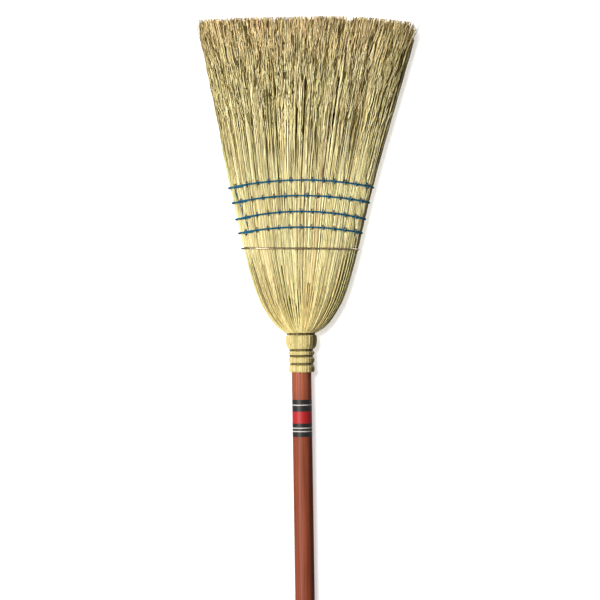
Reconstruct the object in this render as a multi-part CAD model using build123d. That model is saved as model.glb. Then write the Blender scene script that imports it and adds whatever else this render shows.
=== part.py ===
from build123d import *

import math
import os

# A flat, wire-bound corn broom, kept head up. The corn is built up on the handle in layers as a
# broom winder builds it: inside corn, two shoulders, then the hurl that covers them. Wire lashes each
# layer to the handle, four rows of twine sew the head flat, and a wire hoop stiffens its shoulders.
# Millimetres. The origin is the middle of the handle's free end, +Z runs up the handle to the sweep
# edge, +X across the head and -Y out of its front. Heights called h start at the sleeve's lower end.

# Handle
HANDLE_RADIUS = 12.7
EXPOSED_HANDLE = 965.2
HANDLE_END_ROUND = 7.5
SEAT_RADIUS = 11.7
TAPER_START = 30.8
TAPER_END = 114.8
TAPER_TIP_RADIUS = 6.5
TIP_CHAMFER = 1.5

# Film label wrapped round the handle, open by a small gap at the back
LABEL_TOP_BELOW_SLEEVE = 35.8
LABEL_LENGTH = 48.0
LABEL_THICKNESS = 0.15
LABEL_GAP = 4.0

# Head
HEAD_LENGTH = 457.2
CROWN_TOP = 51.6
BODY_TOP = 262.0
SWEEP_SET = 15.6
SQUARENESS_AT_CROWN = 2.0
SQUARENESS_WHEN_SEWN = 2.5
SQUARE_FROM = 157.0
# Height, full width and full thickness, from the bound crown to the sweep edge
HEAD_STATIONS = (
    (CROWN_TOP, 37.0, 37.0),
    (56.0, 48.5, 40.5),
    (62.0, 62.0, 45.5),
    (78.0, 86.5, 52.0),
    (94.0, 104.0, 56.0),
    (125.0, 125.5, 60.0),
    (157.0, 143.0, 58.0),
    (218.0, 171.0, 50.0),
    (250.0, 187.0, 48.0),
    (300.0, 211.0, 53.0),
    (HEAD_LENGTH, 288.0, 70.0),
)
BODY_LEVELS = (CROWN_TOP, 56.0, 62.0, 78.0, 94.0, 125.0, 157.0, 190.0, 218.0, 250.0, BODY_TOP)

# Corn layers, from the outside in
FLUTES = 22
FLUTE_DEPTH = 0.8
HURL_AT_CROWN = 3.85
HURL_AT_TOP = 8.8
SHOULDER_AT_CROWN = 1.6
SHOULDER_AT_TOP = 5.0
LAYER_GAP = 0.05
STALK_ENDS = 33.0
STALK_END_SLOPE = 1.5
CROWN_LEAD_IN = 4.0

# Bristles: rings of strands in each layer, inset from the head's outline where they leave the body
STRAND_PITCH = 5.2
STRAND_BASE = 3.0
STRAND_TIP = 5.0
STRAND_ROOT = 2.0
HURL_RINGS = (2.6, 6.6)
SHOULDER_RINGS = (11.3,)
CORE_RINGS = (16.2, 20.5)
CORE_STRANDS_SHORT_OF_SIDE = 21.0
TRIM_SCATTER = 3.0
RIGHT_SLOPE_DROP = 9.0
RIGHT_SLOPE_FROM = 0.25
RIGHT_CORNER_DROP = 12.0
RIGHT_CORNER_FROM = 0.86
LEFT_CORNER_DROP = 2.0

# Binding wire and the neck it lashes
WIRE_RADIUS = 0.6
WIRE_PITCH = 1.65
GROOVE_HALF_WIDTH = 1.95
GROOVES = ((49.4, 17.0), (28.6, 14.3), (20.8, 14.3), (10.4, 14.3))
RING_RADIUS = 15.9
RING_EDGE = 1.0
COLLAR_RADIUS = 19.4
COLLAR_TOP_RADIUS = 19.0
COLLAR_WIDEST = 42.0
CROSSING_SINK = 0.1
CROSSING_CLEARANCE = 0.15
INNER_TURNS = 4
CORE_RADIUS = 12.85
CORE_WIRE_TOP = 45.0
SHOULDER_RADIUS = 15.0
SHOULDER_WIRE_TOP = 43.0
CHANNEL_MARGIN = 1.0

# Brads that pin the wire
BRAD_RADIUS = 0.75
BRAD_LENGTH = 11.0
BRAD_HEAD_RADIUS = 1.7
BRAD_HEAD = 0.8
CROWN_BRAD = (7.6, 12.0)
CORE_BRAD = (47.3, 200.0)

# Wire hoop round the shoulders
HOOP_RADIUS = 1.3
HOOP_HEIGHT = 159.9
HOOP_TILT = 4.0
HOOP_STANDOFF = 1.8
HOOP_SPANS = 16

# Sewing: height of each row at the middle of the head and how far it drops at the sides, the right a
# little more than the left
ROWS = ((248.3, 9.6), (228.2, 9.0), (207.7, 9.9), (187.5, 7.5))
ROW_TILT = 1.1
TWINE_RADIUS = 1.45
TWINE_REST = 0.3
BAND_SPANS = 36
TAIL_LENGTH = 17.0
TAIL_DROP = 3.4
TAIL_KEEPS_LOW = 0.02
TAIL_RISEN = 0.075
BAND_END = 0.6
STITCH_PITCH = 14.1
STITCH_REACH = 0.92
LACING_RADIUS = 0.9
LACING_SIDES = 6
TICK_ABOVE = 4.2
TICK_BELOW = 3.6
TICK_CREST = 1.5
TICK_FOOT = 1.0
TICK_LIFT = 4.6
NEEDLE_HOLE = 2.3
DIVE = 5.0

FRONT, BACK = -1, 1
LEFT, RIGHT = -1, 1


def through(stations, at):
    """Value at one place of a smooth curve through (place, value) stations that never overshoots them."""
    places = [s[0] for s in stations]
    values = [s[1] for s in stations]
    rises = [
        (values[i + 1] - values[i]) / (places[i + 1] - places[i]) for i in range(len(places) - 1)
    ]
    slopes = [rises[0]]
    for before, after in zip(rises, rises[1:]):
        slopes.append(2 * before * after / (before + after) if before * after > 0 else 0.0)
    slopes.append(rises[-1])
    at = min(max(at, places[0]), places[-1])
    i = max(k for k in range(len(rises)) if places[k] <= at)
    span = places[i + 1] - places[i]
    t = (at - places[i]) / span
    start = values[i] * (1 + 2 * t) * (1 - t) ** 2 + slopes[i] * span * t * (1 - t) ** 2
    end = values[i + 1] * t * t * (3 - 2 * t) - slopes[i + 1] * span * t * t * (1 - t)
    return start + end


def half_width(h):
    return through([(s[0], s[1] / 2) for s in HEAD_STATIONS], h)


def half_thickness(h):
    return through([(s[0], s[2] / 2) for s in HEAD_STATIONS], h)


def squareness(h):
    """Exponent of the head's outline: a circle at the crown, a flattened oval where it is sewn."""
    share = min(max((h - CROWN_TOP) / (SQUARE_FROM - CROWN_TOP), 0), 1)
    return SQUARENESS_AT_CROWN + (SQUARENESS_WHEN_SEWN - SQUARENESS_AT_CROWN) * share


def set_of_straw(h):
    """How far the straw has bent to the right of the handle's axis."""
    share = max(h - CROWN_TOP, 0) / (HEAD_LENGTH - CROWN_TOP)
    return SWEEP_SET * share**2


def layer(at_crown, at_top, h):
    """Thickness of a corn layer, which grows evenly from the crown to the top of the sewn body."""
    return at_crown + (at_top - at_crown) * (h - CROWN_TOP) / (BODY_TOP - CROWN_TOP)


def outline(h, angle, inset=0.0):
    """Point of the head's outline at a height, at an angle about the axis from +X, moved inwards."""
    power = 2 / squareness(h)
    c, s = math.cos(angle), math.sin(angle)
    x = math.copysign(abs(c) ** power, c) * (half_width(h) - inset)
    y = math.copysign(abs(s) ** power, s) * (half_thickness(h) - inset)
    return Vector(set_of_straw(h) + x, y, EXPOSED_HANDLE + h)


def even_angles(h, inset, wanted_steps=None, pitch=None):
    """Angles from 0 to pi that split half the outline into steps of even length.

    A pitch gives the middles of the steps instead of their ends.
    """
    fine = 1440
    points = [outline(h, math.pi * i / fine, inset) for i in range(fine + 1)]
    lengths = [0.0]
    for a, b in zip(points, points[1:]):
        lengths.append(lengths[-1] + (b - a).length)
    steps = wanted_steps or int(lengths[-1] / pitch)
    marks = range(steps + 1) if wanted_steps else [k + 0.5 for k in range(steps)]
    angles = []
    for mark in marks:
        length = lengths[-1] * mark / steps
        angles.append(math.pi * min(range(fine + 1), key=lambda i: abs(lengths[i] - length)) / fine)
    return angles


def surface(side, x, h, lift=0.0):
    """Point over the head's front or back at a distance x from its middle, lifted square off the straw."""
    n = squareness(h)
    a, b = half_width(h), half_thickness(h)
    share = min(abs(x) / a, 0.999)
    y = b * (1 - share**n) ** (1 / n)
    normal = Vector(
        math.copysign(share ** (n - 1) / a, x), side * (y / b) ** (n - 1) / b, 0
    ).normalized()
    return Vector(set_of_straw(h) + x, side * y, EXPOSED_HANDLE + h) + normal * lift


def closed(points):
    return Wire.make_polygon(points, close=True)


def tube_on_biarcs(points, tangents, radius, close=False):
    """Round tube on a path of tangent arcs, two between each pair of points."""
    pairs = list(zip(points, points[1:], tangents, tangents[1:]))
    if close:
        pairs.append((points[-1], points[0], tangents[-1], tangents[0]))
    arcs = []
    for start, end, out, into in pairs:
        chord = end - start
        a = 2 * (1 - out.dot(into))
        b = 2 * chord.dot(out + into)
        c = -chord.dot(chord)
        reach = -c / b if abs(a) < 1e-9 else (-b + math.sqrt(b * b - 4 * a * c)) / (2 * a)
        middle = (start + out * reach + end - into * reach) / 2
        arcs.append(Edge.make_tangent_arc(start, out, middle))
        arcs.append(Edge.make_tangent_arc(middle, arcs[-1] % 1, end))
    path = Wire(arcs)
    section = Plane(origin=points[0], z_dir=tangents[0]) * Circle(radius)
    return sweep(section, path=path), path


def tangents_along(points, close=False):
    """Unit tangents at points, from their neighbours."""
    found = []
    for i in range(len(points)):
        before = points[i - 1] if i or close else points[0]
        after = points[(i + 1) % len(points)] if close else points[min(i + 1, len(points) - 1)]
        found.append((after - before).normalized())
    return found


def faceted(rings):
    """Solid with flat faces between rings of corners, closed by the first ring and the last."""
    faces = [Face(closed(rings[0])), Face(closed(rings[-1]))]
    for low, high in zip(rings, rings[1:]):
        for k in range(len(low)):
            faces.append(Face(closed([low[k - 1], low[k], high[k], high[k - 1]])))
    return Solid(Shell(faces))


def mitred_tube(points, radius, sides):
    """Tube of straight runs with mitred corners, on a regular polygon."""
    runs = [(b - a).normalized() for a, b in zip(points, points[1:])]
    start = Plane(origin=points[0], z_dir=runs[0])
    ring = [
        start.from_local_coords(
            Vector(
                radius * math.cos(2 * math.pi * k / sides),
                radius * math.sin(2 * math.pi * k / sides),
                0,
            )
        )
        for k in range(sides)
    ]
    rings = [ring]
    for i, run in enumerate(runs):
        corner = points[i + 1]
        cut = run if i == len(runs) - 1 else (run + runs[i + 1]).normalized()
        ring = [p + run * ((corner - p).dot(cut) / run.dot(cut)) for p in ring]
        rings.append(ring)
    return faceted(rings)


def least_gap(path, radius, turn):
    """Least clear distance between one turn of a wire and the next, measured on points of its path."""
    count = int(path.length / radius)
    points = [path @ (i / count) for i in range(count + 1)]
    skip = int(0.5 * turn / radius)
    return (
        min((a - b).length for i, a in enumerate(points) for b in points[i + skip :]) - 2 * radius
    )


def handle():
    """Turned handle: rounded free end, straight grip, a seat for the corn and a tapered tip inside it."""
    tip = EXPOSED_HANDLE + TAPER_END
    profile = Polyline(
        (0, 0),
        (HANDLE_RADIUS, 0),
        (HANDLE_RADIUS, EXPOSED_HANDLE),
        (SEAT_RADIUS, EXPOSED_HANDLE),
        (SEAT_RADIUS, EXPOSED_HANDLE + TAPER_START),
        (TAPER_TIP_RADIUS, tip - TIP_CHAMFER),
        (TAPER_TIP_RADIUS - TIP_CHAMFER, tip),
        (0, tip),
        close=True,
    )
    face = make_face(profile)
    corner = face.vertices().sort_by_distance((HANDLE_RADIUS, 0, 0))[0]
    face = fillet(corner, HANDLE_END_ROUND)
    turned = revolve(Plane.XZ * face, Axis.Z)
    return turned - [brad_hole(*CROWN_BRAD, RING_RADIUS), brad_hole(*CORE_BRAD, CORE_RADIUS)]


def handle_label():
    """Film label on the grip, just below the sleeve."""
    low = EXPOSED_HANDLE - LABEL_TOP_BELOW_SLEEVE - LABEL_LENGTH
    ring = Pos(0, 0, low) * extrude(
        Circle(HANDLE_RADIUS + LABEL_THICKNESS) - Circle(HANDLE_RADIUS), LABEL_LENGTH
    )
    slot = Pos(0, HANDLE_RADIUS, low) * Box(
        LABEL_GAP, HANDLE_RADIUS, 3 * LABEL_LENGTH, align=(Align.CENTER, Align.CENTER, Align.CENTER)
    )
    return ring - slot


def brad_frame(h, degrees, radius):
    """Frame on the neck where a brad goes in, looking outwards."""
    turn = math.radians(degrees)
    out = Vector(math.cos(turn), math.sin(turn), 0)
    return Plane(origin=out * radius + Vector(0, 0, EXPOSED_HANDLE + h), z_dir=out)


def brad_hole(h, degrees, radius):
    return brad_frame(h, degrees, radius) * Pos(0, 0, -BRAD_LENGTH / 2) * Cylinder(
        BRAD_RADIUS, BRAD_LENGTH
    )


def wire_brads():
    """The two brads: one pins the start of the inside wire, one the end of the crown wire."""
    brads = []
    for place, radius in ((CROWN_BRAD, RING_RADIUS), (CORE_BRAD, CORE_RADIUS)):
        head = brad_frame(*place, radius) * Pos(0, 0, BRAD_HEAD / 2) * Cylinder(
            BRAD_HEAD_RADIUS, BRAD_HEAD
        )
        brads.append(brad_hole(*place, radius) + head)
    return brads


def half_ring(profile, plane, keep):
    """Half of a neck piece turned from its profile of radius and height, on one side of a plane."""
    ring = Pos(0, 0, EXPOSED_HANDLE) * revolve(Plane.XZ * make_face(profile), Axis.Z)
    return ring.split(plane, keep=keep)


def groove_low(groove):
    return groove[0] - GROOVE_HALF_WIDTH


def groove_high(groove):
    return groove[0] + GROOVE_HALF_WIDTH


def hurl_neck(side):
    """Bound stalk ends of the hurl: rings that swell between the wire's grooves, and the collar."""
    top, third, second, lowest = GROOVES
    edge = RING_RADIUS - RING_EDGE
    outside = []
    place = (SEAT_RADIUS, 0.0)
    for foot, groove in ((0.0, lowest), (groove_high(lowest), second), (groove_high(second), third)):
        head = groove_low(groove)
        swell = (RING_RADIUS, (foot + head) / 2)
        outside += Polyline(place, (edge, foot)).edges()
        outside += ThreePointArc((edge, foot), swell, (edge, head)).edges()
        place = (groove[1], groove_high(groove))
        outside += Polyline((edge, head), (groove[1], head), place).edges()
    foot, head = (RING_RADIUS, groove_high(third)), (COLLAR_TOP_RADIUS, groove_low(top))
    outside += Polyline(place, foot).edges()
    outside += ThreePointArc(foot, (COLLAR_RADIUS, COLLAR_WIDEST), head).edges()
    rest = [
        head,
        (top[1], groove_low(top)),
        (top[1], CROWN_TOP),
        (layer_inner(HURL_AT_CROWN), CROWN_TOP),
        (SHOULDER_RADIUS + LAYER_GAP, CROWN_TOP - CROWN_LEAD_IN),
        (SHOULDER_RADIUS + LAYER_GAP, SHOULDER_WIRE_TOP + CHANNEL_MARGIN),
        (wire_outside(SHOULDER_RADIUS), SHOULDER_WIRE_TOP + CHANNEL_MARGIN),
        (wire_outside(SHOULDER_RADIUS), wire_foot(SHOULDER_WIRE_TOP)),
        (SHOULDER_RADIUS + LAYER_GAP, wire_foot(SHOULDER_WIRE_TOP)),
        (SHOULDER_RADIUS + LAYER_GAP, STALK_ENDS),
        (SEAT_RADIUS, STALK_ENDS - STALK_END_SLOPE),
        (SEAT_RADIUS, 0.0),
    ]
    profile = outside + Polyline(*rest).edges()
    return half_ring(profile, Plane.XZ, Keep.TOP if side == FRONT else Keep.BOTTOM)


def layer_inner(thickness):
    """Radius inside a layer at the crown's top."""
    return half_width(CROWN_TOP) - thickness


def wire_outside(radius):
    """Radius just outside a wire that is wound on a layer of that radius."""
    return radius + 2 * WIRE_RADIUS + LAYER_GAP


def wire_foot(top):
    """Height just below a hidden winding that starts at top."""
    return top - INNER_TURNS * WIRE_PITCH - 2 * WIRE_RADIUS - CHANNEL_MARGIN


def shoulder_neck(side):
    """Stalk ends of one shoulder, with a channel for the wire that holds the inside corn."""
    inside = CORE_RADIUS + LAYER_GAP
    points = [
        (inside, STALK_ENDS),
        (SHOULDER_RADIUS, STALK_ENDS),
        (SHOULDER_RADIUS, CROWN_TOP - CROWN_LEAD_IN),
        (layer_inner(HURL_AT_CROWN) - LAYER_GAP, CROWN_TOP),
        (layer_inner(HURL_AT_CROWN + SHOULDER_AT_CROWN), CROWN_TOP),
        (wire_outside(CORE_RADIUS), CROWN_TOP - STALK_END_SLOPE),
        (wire_outside(CORE_RADIUS), wire_foot(CORE_WIRE_TOP)),
        (inside, wire_foot(CORE_WIRE_TOP)),
    ]
    profile = Polyline(*points, close=True)
    return half_ring(profile, Plane.YZ, Keep.TOP if side == RIGHT else Keep.BOTTOM)


def core_neck():
    """Stalk ends of the inside corn on the handle's taper."""
    low = EXPOSED_HANDLE + STALK_ENDS
    ring = Circle(CORE_RADIUS) - Circle(TAPER_TIP_RADIUS)
    return Pos(0, 0, low) * extrude(ring, CROWN_TOP - STALK_ENDS)


def hurl_shell(side):
    """Half the cover of the sewn body, fluted like the stalks that lie side by side in it."""
    angles = [side * a for a in even_angles(ROWS[0][0], 0, 2 * FLUTES)]
    sections = []
    for h in BODY_LEVELS:
        outer = [outline(h, a, FLUTE_DEPTH * (i % 2)) for i, a in enumerate(angles)]
        inner = [outline(h, a, layer(HURL_AT_CROWN, HURL_AT_TOP, h)) for a in angles[::-2]]
        sections.append(closed(outer + inner))
    return Solid.make_loft(sections, ruled=True)


def shoulder_shell(side):
    """One shoulder inside the hurl, wrapped round the inside corn to the head's middle."""
    turn = 0.0 if side == RIGHT else math.pi
    angles = even_angles(ROWS[0][0], 0, 2 * FLUTES)
    half = angles[: FLUTES + 1 : 2]
    sweep_round = [turn - a for a in reversed(half)] + [turn + a for a in half[1:]]
    sections = []
    for h in BODY_LEVELS:
        outside = layer(HURL_AT_CROWN, HURL_AT_TOP, h) + LAYER_GAP
        inside = outside + layer(SHOULDER_AT_CROWN, SHOULDER_AT_TOP, h)
        outer = [outline(h, a, outside) for a in sweep_round]
        inner = [outline(h, a, inside) for a in reversed(sweep_round)]
        sections.append(closed(outer + inner))
    return Solid.make_loft(sections, ruled=True)


def core_body():
    """The inside corn, from the crown to the top of the sewn body."""
    angles = even_angles(ROWS[0][0], 0, 2 * FLUTES)[::2]
    ring = angles + [a + math.pi for a in angles[1:-1]]
    sections = []
    for h in BODY_LEVELS:
        inset = layer(
            HURL_AT_CROWN + SHOULDER_AT_CROWN, HURL_AT_TOP + SHOULDER_AT_TOP, h
        ) + 2 * LAYER_GAP
        sections.append(closed([outline(h, a, inset) for a in ring]))
    return Solid.make_loft(sections, ruled=True)


def trim_height(x, number):
    """Height where a strand at x is cut, lower at the worn right corner and a little uneven."""
    share = x / half_width(HEAD_LENGTH)
    slope = max(share - RIGHT_SLOPE_FROM, 0) / (1 - RIGHT_SLOPE_FROM)
    corner = max(share - RIGHT_CORNER_FROM, 0) / (1 - RIGHT_CORNER_FROM)
    worn = RIGHT_SLOPE_DROP * slope**1.3 + RIGHT_CORNER_DROP * corner**2
    uneven = math.modf(abs(math.sin(12.9898 * number) * 43758.5453))[0]
    left = LEFT_CORNER_DROP * max(-share, 0) ** 3
    return HEAD_LENGTH - worn - left - TRIM_SCATTER * uneven


def square(middle, along, size):
    """Level square about a point, with one pair of sides along a direction."""
    a = along * (size / 2)
    b = Vector(-a.Y, a.X, 0)
    return [middle - a - b, middle + a - b, middle + a + b, middle - a + b]


def strands(insets, wanted):
    """Bristles of one layer: a ring of tapered strands for each inset, where wanted(x, y) says so."""
    found = []
    spread = half_thickness(HEAD_LENGTH) / half_thickness(BODY_TOP)
    for inset in insets:
        angles = even_angles(BODY_TOP, inset, pitch=STRAND_PITCH)
        for side in (FRONT, BACK):
            for angle in angles:
                root = outline(BODY_TOP, side * angle, inset)
                x = root.X - set_of_straw(BODY_TOP)
                if not wanted(x, root.Y):
                    continue
                ahead = outline(BODY_TOP, side * angle + 0.01, inset)
                along = (ahead - root).normalized()
                end = outline(HEAD_LENGTH, side * angle, inset * spread)
                height = trim_height(end.X - SWEEP_SET, len(found) + 100 * inset)
                share = (height - BODY_TOP) / (HEAD_LENGTH - BODY_TOP)
                tip = root + (end - root) * share
                low = root - (end - root).normalized() * STRAND_ROOT
                size = STRAND_BASE + (STRAND_TIP - STRAND_BASE) * share
                found.append(faceted([square(low, along, STRAND_BASE), square(tip, along, size)]))
    return found


def winding(places):
    """Points and tangents of a wire, given as (radius, height, slope of each) for every quarter turn."""
    points, tangents = [], []
    for i, (r, h, dr, dh) in enumerate(places):
        turn = math.pi + i * math.pi / 2
        c, s = math.cos(turn), math.sin(turn)
        points.append(Vector(r * c, r * s, EXPOSED_HANDLE + h))
        tangents.append(Vector(dr * c - r * s, dr * s + r * c, dh).normalized())
    return points, tangents


def crown_places():
    """Quarter turns of the crown wire: one and a half turns in each groove, then half a turn across."""
    places = []
    for k, (middle, floor) in enumerate(GROOVES):
        r = floor + WIRE_RADIUS + LAYER_GAP
        for quarter in range(7):
            places.append((r, middle + WIRE_PITCH * (3 - quarter) / 4, 0, -WIRE_PITCH / (2 * math.pi)))
        if k + 1 < len(GROOVES):
            drop = middle - GROOVES[k + 1][0]
            swell = COLLAR_RADIUS if k == 0 else RING_RADIUS
            inward = GROOVES[k + 1][1] - floor
            across = swell - WIRE_RADIUS - CROSSING_SINK
            places.append((across, middle - drop / 2, inward / math.pi, -1.5 * drop / math.pi))
    return places


def crossing_channels():
    """Channels that the crown wire presses into the swellings where it steps from groove to groove."""
    points, tangents = winding(crown_places())
    channels = []
    for k in range(len(GROOVES) - 1):
        first = 8 * k + 6
        span = slice(first, first + 3)
        tube, _ = tube_on_biarcs(points[span], tangents[span], WIRE_RADIUS + CROSSING_CLEARANCE)
        channels.append(tube)
    return channels


def wound(places, name):
    """A wire winding, with its least gap printed."""
    points, tangents = winding(places)
    tube, path = tube_on_biarcs(points, tangents, WIRE_RADIUS)
    turn = 2 * math.pi * min(p[0] for p in places)
    print(name, "least gap", round(least_gap(path, WIRE_RADIUS, turn), 2), "length", round(path.length))
    return tube


def inner_winding(radius, top, name):
    """A hidden winding of even turns on a layer of that radius."""
    r = radius + WIRE_RADIUS + LAYER_GAP / 2
    quarters = 4 * INNER_TURNS
    slope = -WIRE_PITCH / (2 * math.pi)
    places = [(r, top - WIRE_RADIUS + slope * math.pi / 2 * q, 0, slope) for q in range(quarters + 1)]
    return wound(places, name)


def shoulder_hoop():
    """Wire hoop round the shoulders, level across the head and standing off its narrow sides."""
    points = []
    for k in range(HOOP_SPANS):
        angle = 2 * math.pi * k / HOOP_SPANS
        side = abs(math.cos(angle)) ** 8
        lift = HOOP_RADIUS + TWINE_REST + HOOP_STANDOFF * side
        h = HOOP_HEIGHT - HOOP_TILT / 2 * math.cos(angle)
        points.append(outline(h, angle, -lift))
    tube, _ = tube_on_biarcs(points, tangents_along(points, True), HOOP_RADIUS, close=True)
    return tube


def row_height(row, x):
    """Height of a row of sewing at a distance x from the head's middle."""
    middle, drop = row
    share = x / half_width(middle)
    return middle - drop * share**2 - ROW_TILT * share


def band_point(row, angle, below=0.0):
    """Point of a row's band on its way round the head."""
    h = row[0]
    for _ in range(4):
        h = row_height(row, outline(h, angle).X - set_of_straw(h)) - below
    return outline(h, angle, -(TWINE_RADIUS + TWINE_REST))


def stitch_band(row):
    """Twine that goes once round the head, its starting tail tucked under its end at the front left."""
    tail = math.acos((1 - TAIL_LENGTH / half_width(row[0])) ** (squareness(row[0]) / 2))
    first, last = math.pi + tail, math.pi + BAND_END * tail
    total = first + 2 * math.pi - last
    points = []
    for k in range(BAND_SPANS + 1):
        share = k / BAND_SPANS
        risen = min(max((share - TAIL_KEEPS_LOW) / (TAIL_RISEN - TAIL_KEEPS_LOW), 0), 1)
        below = TAIL_DROP * (1 - risen) ** 2 * (1 + 2 * risen)
        points.append(band_point(row, first - total * share, below))
    tube, _ = tube_on_biarcs(points, tangents_along(points), TWINE_RADIUS)
    return tube


def stitch_places(row):
    """Where the stitches cross the band, from right to left: (side, x) front and back by turns."""
    reach = STITCH_REACH * half_width(row[0])
    count = int(2 * reach / STITCH_PITCH) + 1
    first = STITCH_PITCH * (count - 1) / 2
    places = []
    for i in range(count):
        places.append((FRONT, first - STITCH_PITCH * i))
        if i + 1 < count:
            places.append((BACK, first - STITCH_PITCH * (i + 0.5)))
    return places


def tick(row, side, x):
    """A stitch over the band, from above it to below it. It reaches lower over the band's tail."""
    over_tail = side == FRONT and x < TAIL_LENGTH + 2 * TWINE_RADIUS - half_width(row[0])
    extra = TAIL_DROP if over_tail else 0.0
    h = row_height(row, x)
    return [
        surface(side, x, h + TICK_ABOVE, TICK_FOOT),
        surface(side, x, h + TICK_CREST, TICK_LIFT),
        surface(side, x, h - TICK_CREST - extra, TICK_LIFT),
        surface(side, x, h - TICK_BELOW - extra, TICK_FOOT),
    ]


def lacing_route(index):
    """Route of a row's sewing twine: through the head at each stitch, then down to the next row."""
    row = ROWS[index]
    places = stitch_places(row)
    ticks = [tick(row, side, x) for side, x in places]
    begin = ticks[0][0] + Vector(0, DIVE, 0)
    route = [begin] + [p for t in ticks for p in t]
    legs = [(begin, ticks[0][0])]
    legs += [(a[-1], b[0]) for a, b in zip(ticks, ticks[1:])]
    left = places[-1][1]
    if index + 1 < len(ROWS):
        below = ROWS[index + 1]
        arrive = left + STITCH_PITCH / 3
        foot = surface(FRONT, arrive, row_height(below, arrive) + 1.3 * TICK_ABOVE, TICK_FOOT)
        route.append(foot)
        route.append(foot + Vector(0, DIVE, -1))
    else:
        route.append(route[-1] + Vector(0, DIVE, -1))
    legs.append((route[-2], route[-1]))
    return route, legs


def needle_holes():
    """Slits that the needle opened, one for each run of twine through the head."""
    holes = []
    for index in range(len(ROWS)):
        for start, end in lacing_route(index)[1]:
            run = end - start
            frame = Plane(origin=(start + end) / 2, z_dir=run)
            holes.append(frame * Box(NEEDLE_HOLE, NEEDLE_HOLE, run.length + 2))
    return holes


def main():
    os.makedirs("parts", exist_ok=True)
    holes = needle_holes()
    channels = crossing_channels()
    stick = handle()
    parts = {
        "handle": stick,
        "handle_label": handle_label(),
        "wire_brads": Compound(children=wire_brads()),
        "crown_winding_wire": wound(crown_places(), "crown_winding_wire"),
        "core_winding_wire": inner_winding(CORE_RADIUS, CORE_WIRE_TOP, "core_winding_wire"),
        "shoulder_winding_wire": inner_winding(
            SHOULDER_RADIUS, SHOULDER_WIRE_TOP, "shoulder_winding_wire"
        ),
        "shoulder_hoop_wire": shoulder_hoop(),
    }
    for side, name in ((FRONT, "front_hurl"), (BACK, "back_hurl")):
        grown = strands(HURL_RINGS, lambda x, y: y * side > 0)
        cover = hurl_shell(side).fuse(hurl_neck(side), *grown)
        cuts = holes if side == FRONT else holes + channels + [brad_hole(*CROWN_BRAD, RING_RADIUS)]
        parts[name] = cover.cut(*cuts)
    for side, name in ((LEFT, "left_shoulder_corn"), (RIGHT, "right_shoulder_corn")):
        grown = strands(SHOULDER_RINGS, lambda x, y: x * side > STRAND_BASE / 2 + LAYER_GAP)
        parts[name] = shoulder_shell(side).fuse(shoulder_neck(side), *grown).cut(*holes)
    reach = half_width(BODY_TOP) - CORE_STRANDS_SHORT_OF_SIDE
    grown = strands(CORE_RINGS, lambda x, y: abs(x) < reach)
    core = core_body().fuse(core_neck(), *grown)
    parts["inside_corn"] = core.cut(*holes, stick, brad_hole(*CORE_BRAD, CORE_RADIUS))
    for index, row in enumerate(ROWS):
        parts[f"stitch_band_{index + 1}"] = stitch_band(row)
        route = lacing_route(index)[0]
        parts[f"stitch_lacing_{index + 1}"] = mitred_tube(route, LACING_RADIUS, LACING_SIDES)
    for name, part in parts.items():
        export_step(part, f"parts/{name}.step")


main()
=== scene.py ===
"""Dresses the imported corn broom: straw head, sewing twine, binding wire, lacquered handle and studio.

All sizes are in metres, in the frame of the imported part: the origin is the middle of the handle's free
end, +Z runs up the handle to the sweep edge, +X across the head and -Y out of its front. A height
called h starts at the lower end of the straw sleeve. An angle round the head starts at +X, and a turn
is that angle with a minus for the front.
"""

import logging
import math
import random
from dataclasses import dataclass, field
from enum import Enum

import bmesh
import bpy
import numpy as np
from mathutils import Matrix, Vector


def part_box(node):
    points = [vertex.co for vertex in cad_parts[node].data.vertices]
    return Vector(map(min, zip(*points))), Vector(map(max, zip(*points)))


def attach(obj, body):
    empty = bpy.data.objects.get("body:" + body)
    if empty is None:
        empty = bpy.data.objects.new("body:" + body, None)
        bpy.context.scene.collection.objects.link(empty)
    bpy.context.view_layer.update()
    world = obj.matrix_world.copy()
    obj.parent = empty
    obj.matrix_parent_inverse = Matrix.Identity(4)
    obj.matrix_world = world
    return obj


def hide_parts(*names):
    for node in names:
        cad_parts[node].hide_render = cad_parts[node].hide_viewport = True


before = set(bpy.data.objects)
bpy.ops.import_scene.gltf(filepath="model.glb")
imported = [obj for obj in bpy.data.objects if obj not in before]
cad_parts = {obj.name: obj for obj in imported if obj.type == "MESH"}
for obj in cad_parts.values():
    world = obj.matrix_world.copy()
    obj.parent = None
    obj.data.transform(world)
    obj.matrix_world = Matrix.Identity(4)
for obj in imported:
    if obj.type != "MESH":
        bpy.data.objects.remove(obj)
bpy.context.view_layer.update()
LOG = logging.getLogger("broom")

Triple = tuple[float, float, float]
Span = tuple[float, float]
Colour = tuple[float, float, float]
Srgb = tuple[int, int, int]

WHITE: Colour = (1.0, 1.0, 1.0)
WHOLE: Span = (0.0, 1.0)
TONE_LAYER = "straw_tone"
# How sharply straw and twine stand out at the head's sides.
SIDE_POWER = 6


class Side(Enum):
    """Face of the head, with the way it faces along Y."""

    FRONT = -1
    BACK = 1

    @property
    def hurl(self) -> str:
        """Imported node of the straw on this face."""
        return self.name.lower() + "_hurl"


class Tone(Enum):
    """Colours that dry broom corn shows, as sRGB from 0 to 255."""

    PALE = (240, 232, 189)
    STRAW = (226, 216, 160)
    GREEN = (203, 203, 142)
    TAN = (211, 191, 136)
    BROWN = (163, 134, 92)


def linear(srgb: tuple[float, ...]) -> Colour:
    """Turns an sRGB colour into linear light by the standard's curve.

    Args:
        srgb: Red, green and blue from 0 to 255.

    Returns:
        The colour as Blender's sockets take it.
    """
    shares = [c / 255 for c in srgb]
    return tuple(s / 12.92 if s <= 0.04045 else ((s + 0.055) / 1.055) ** 2.4 for s in shares)


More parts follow.
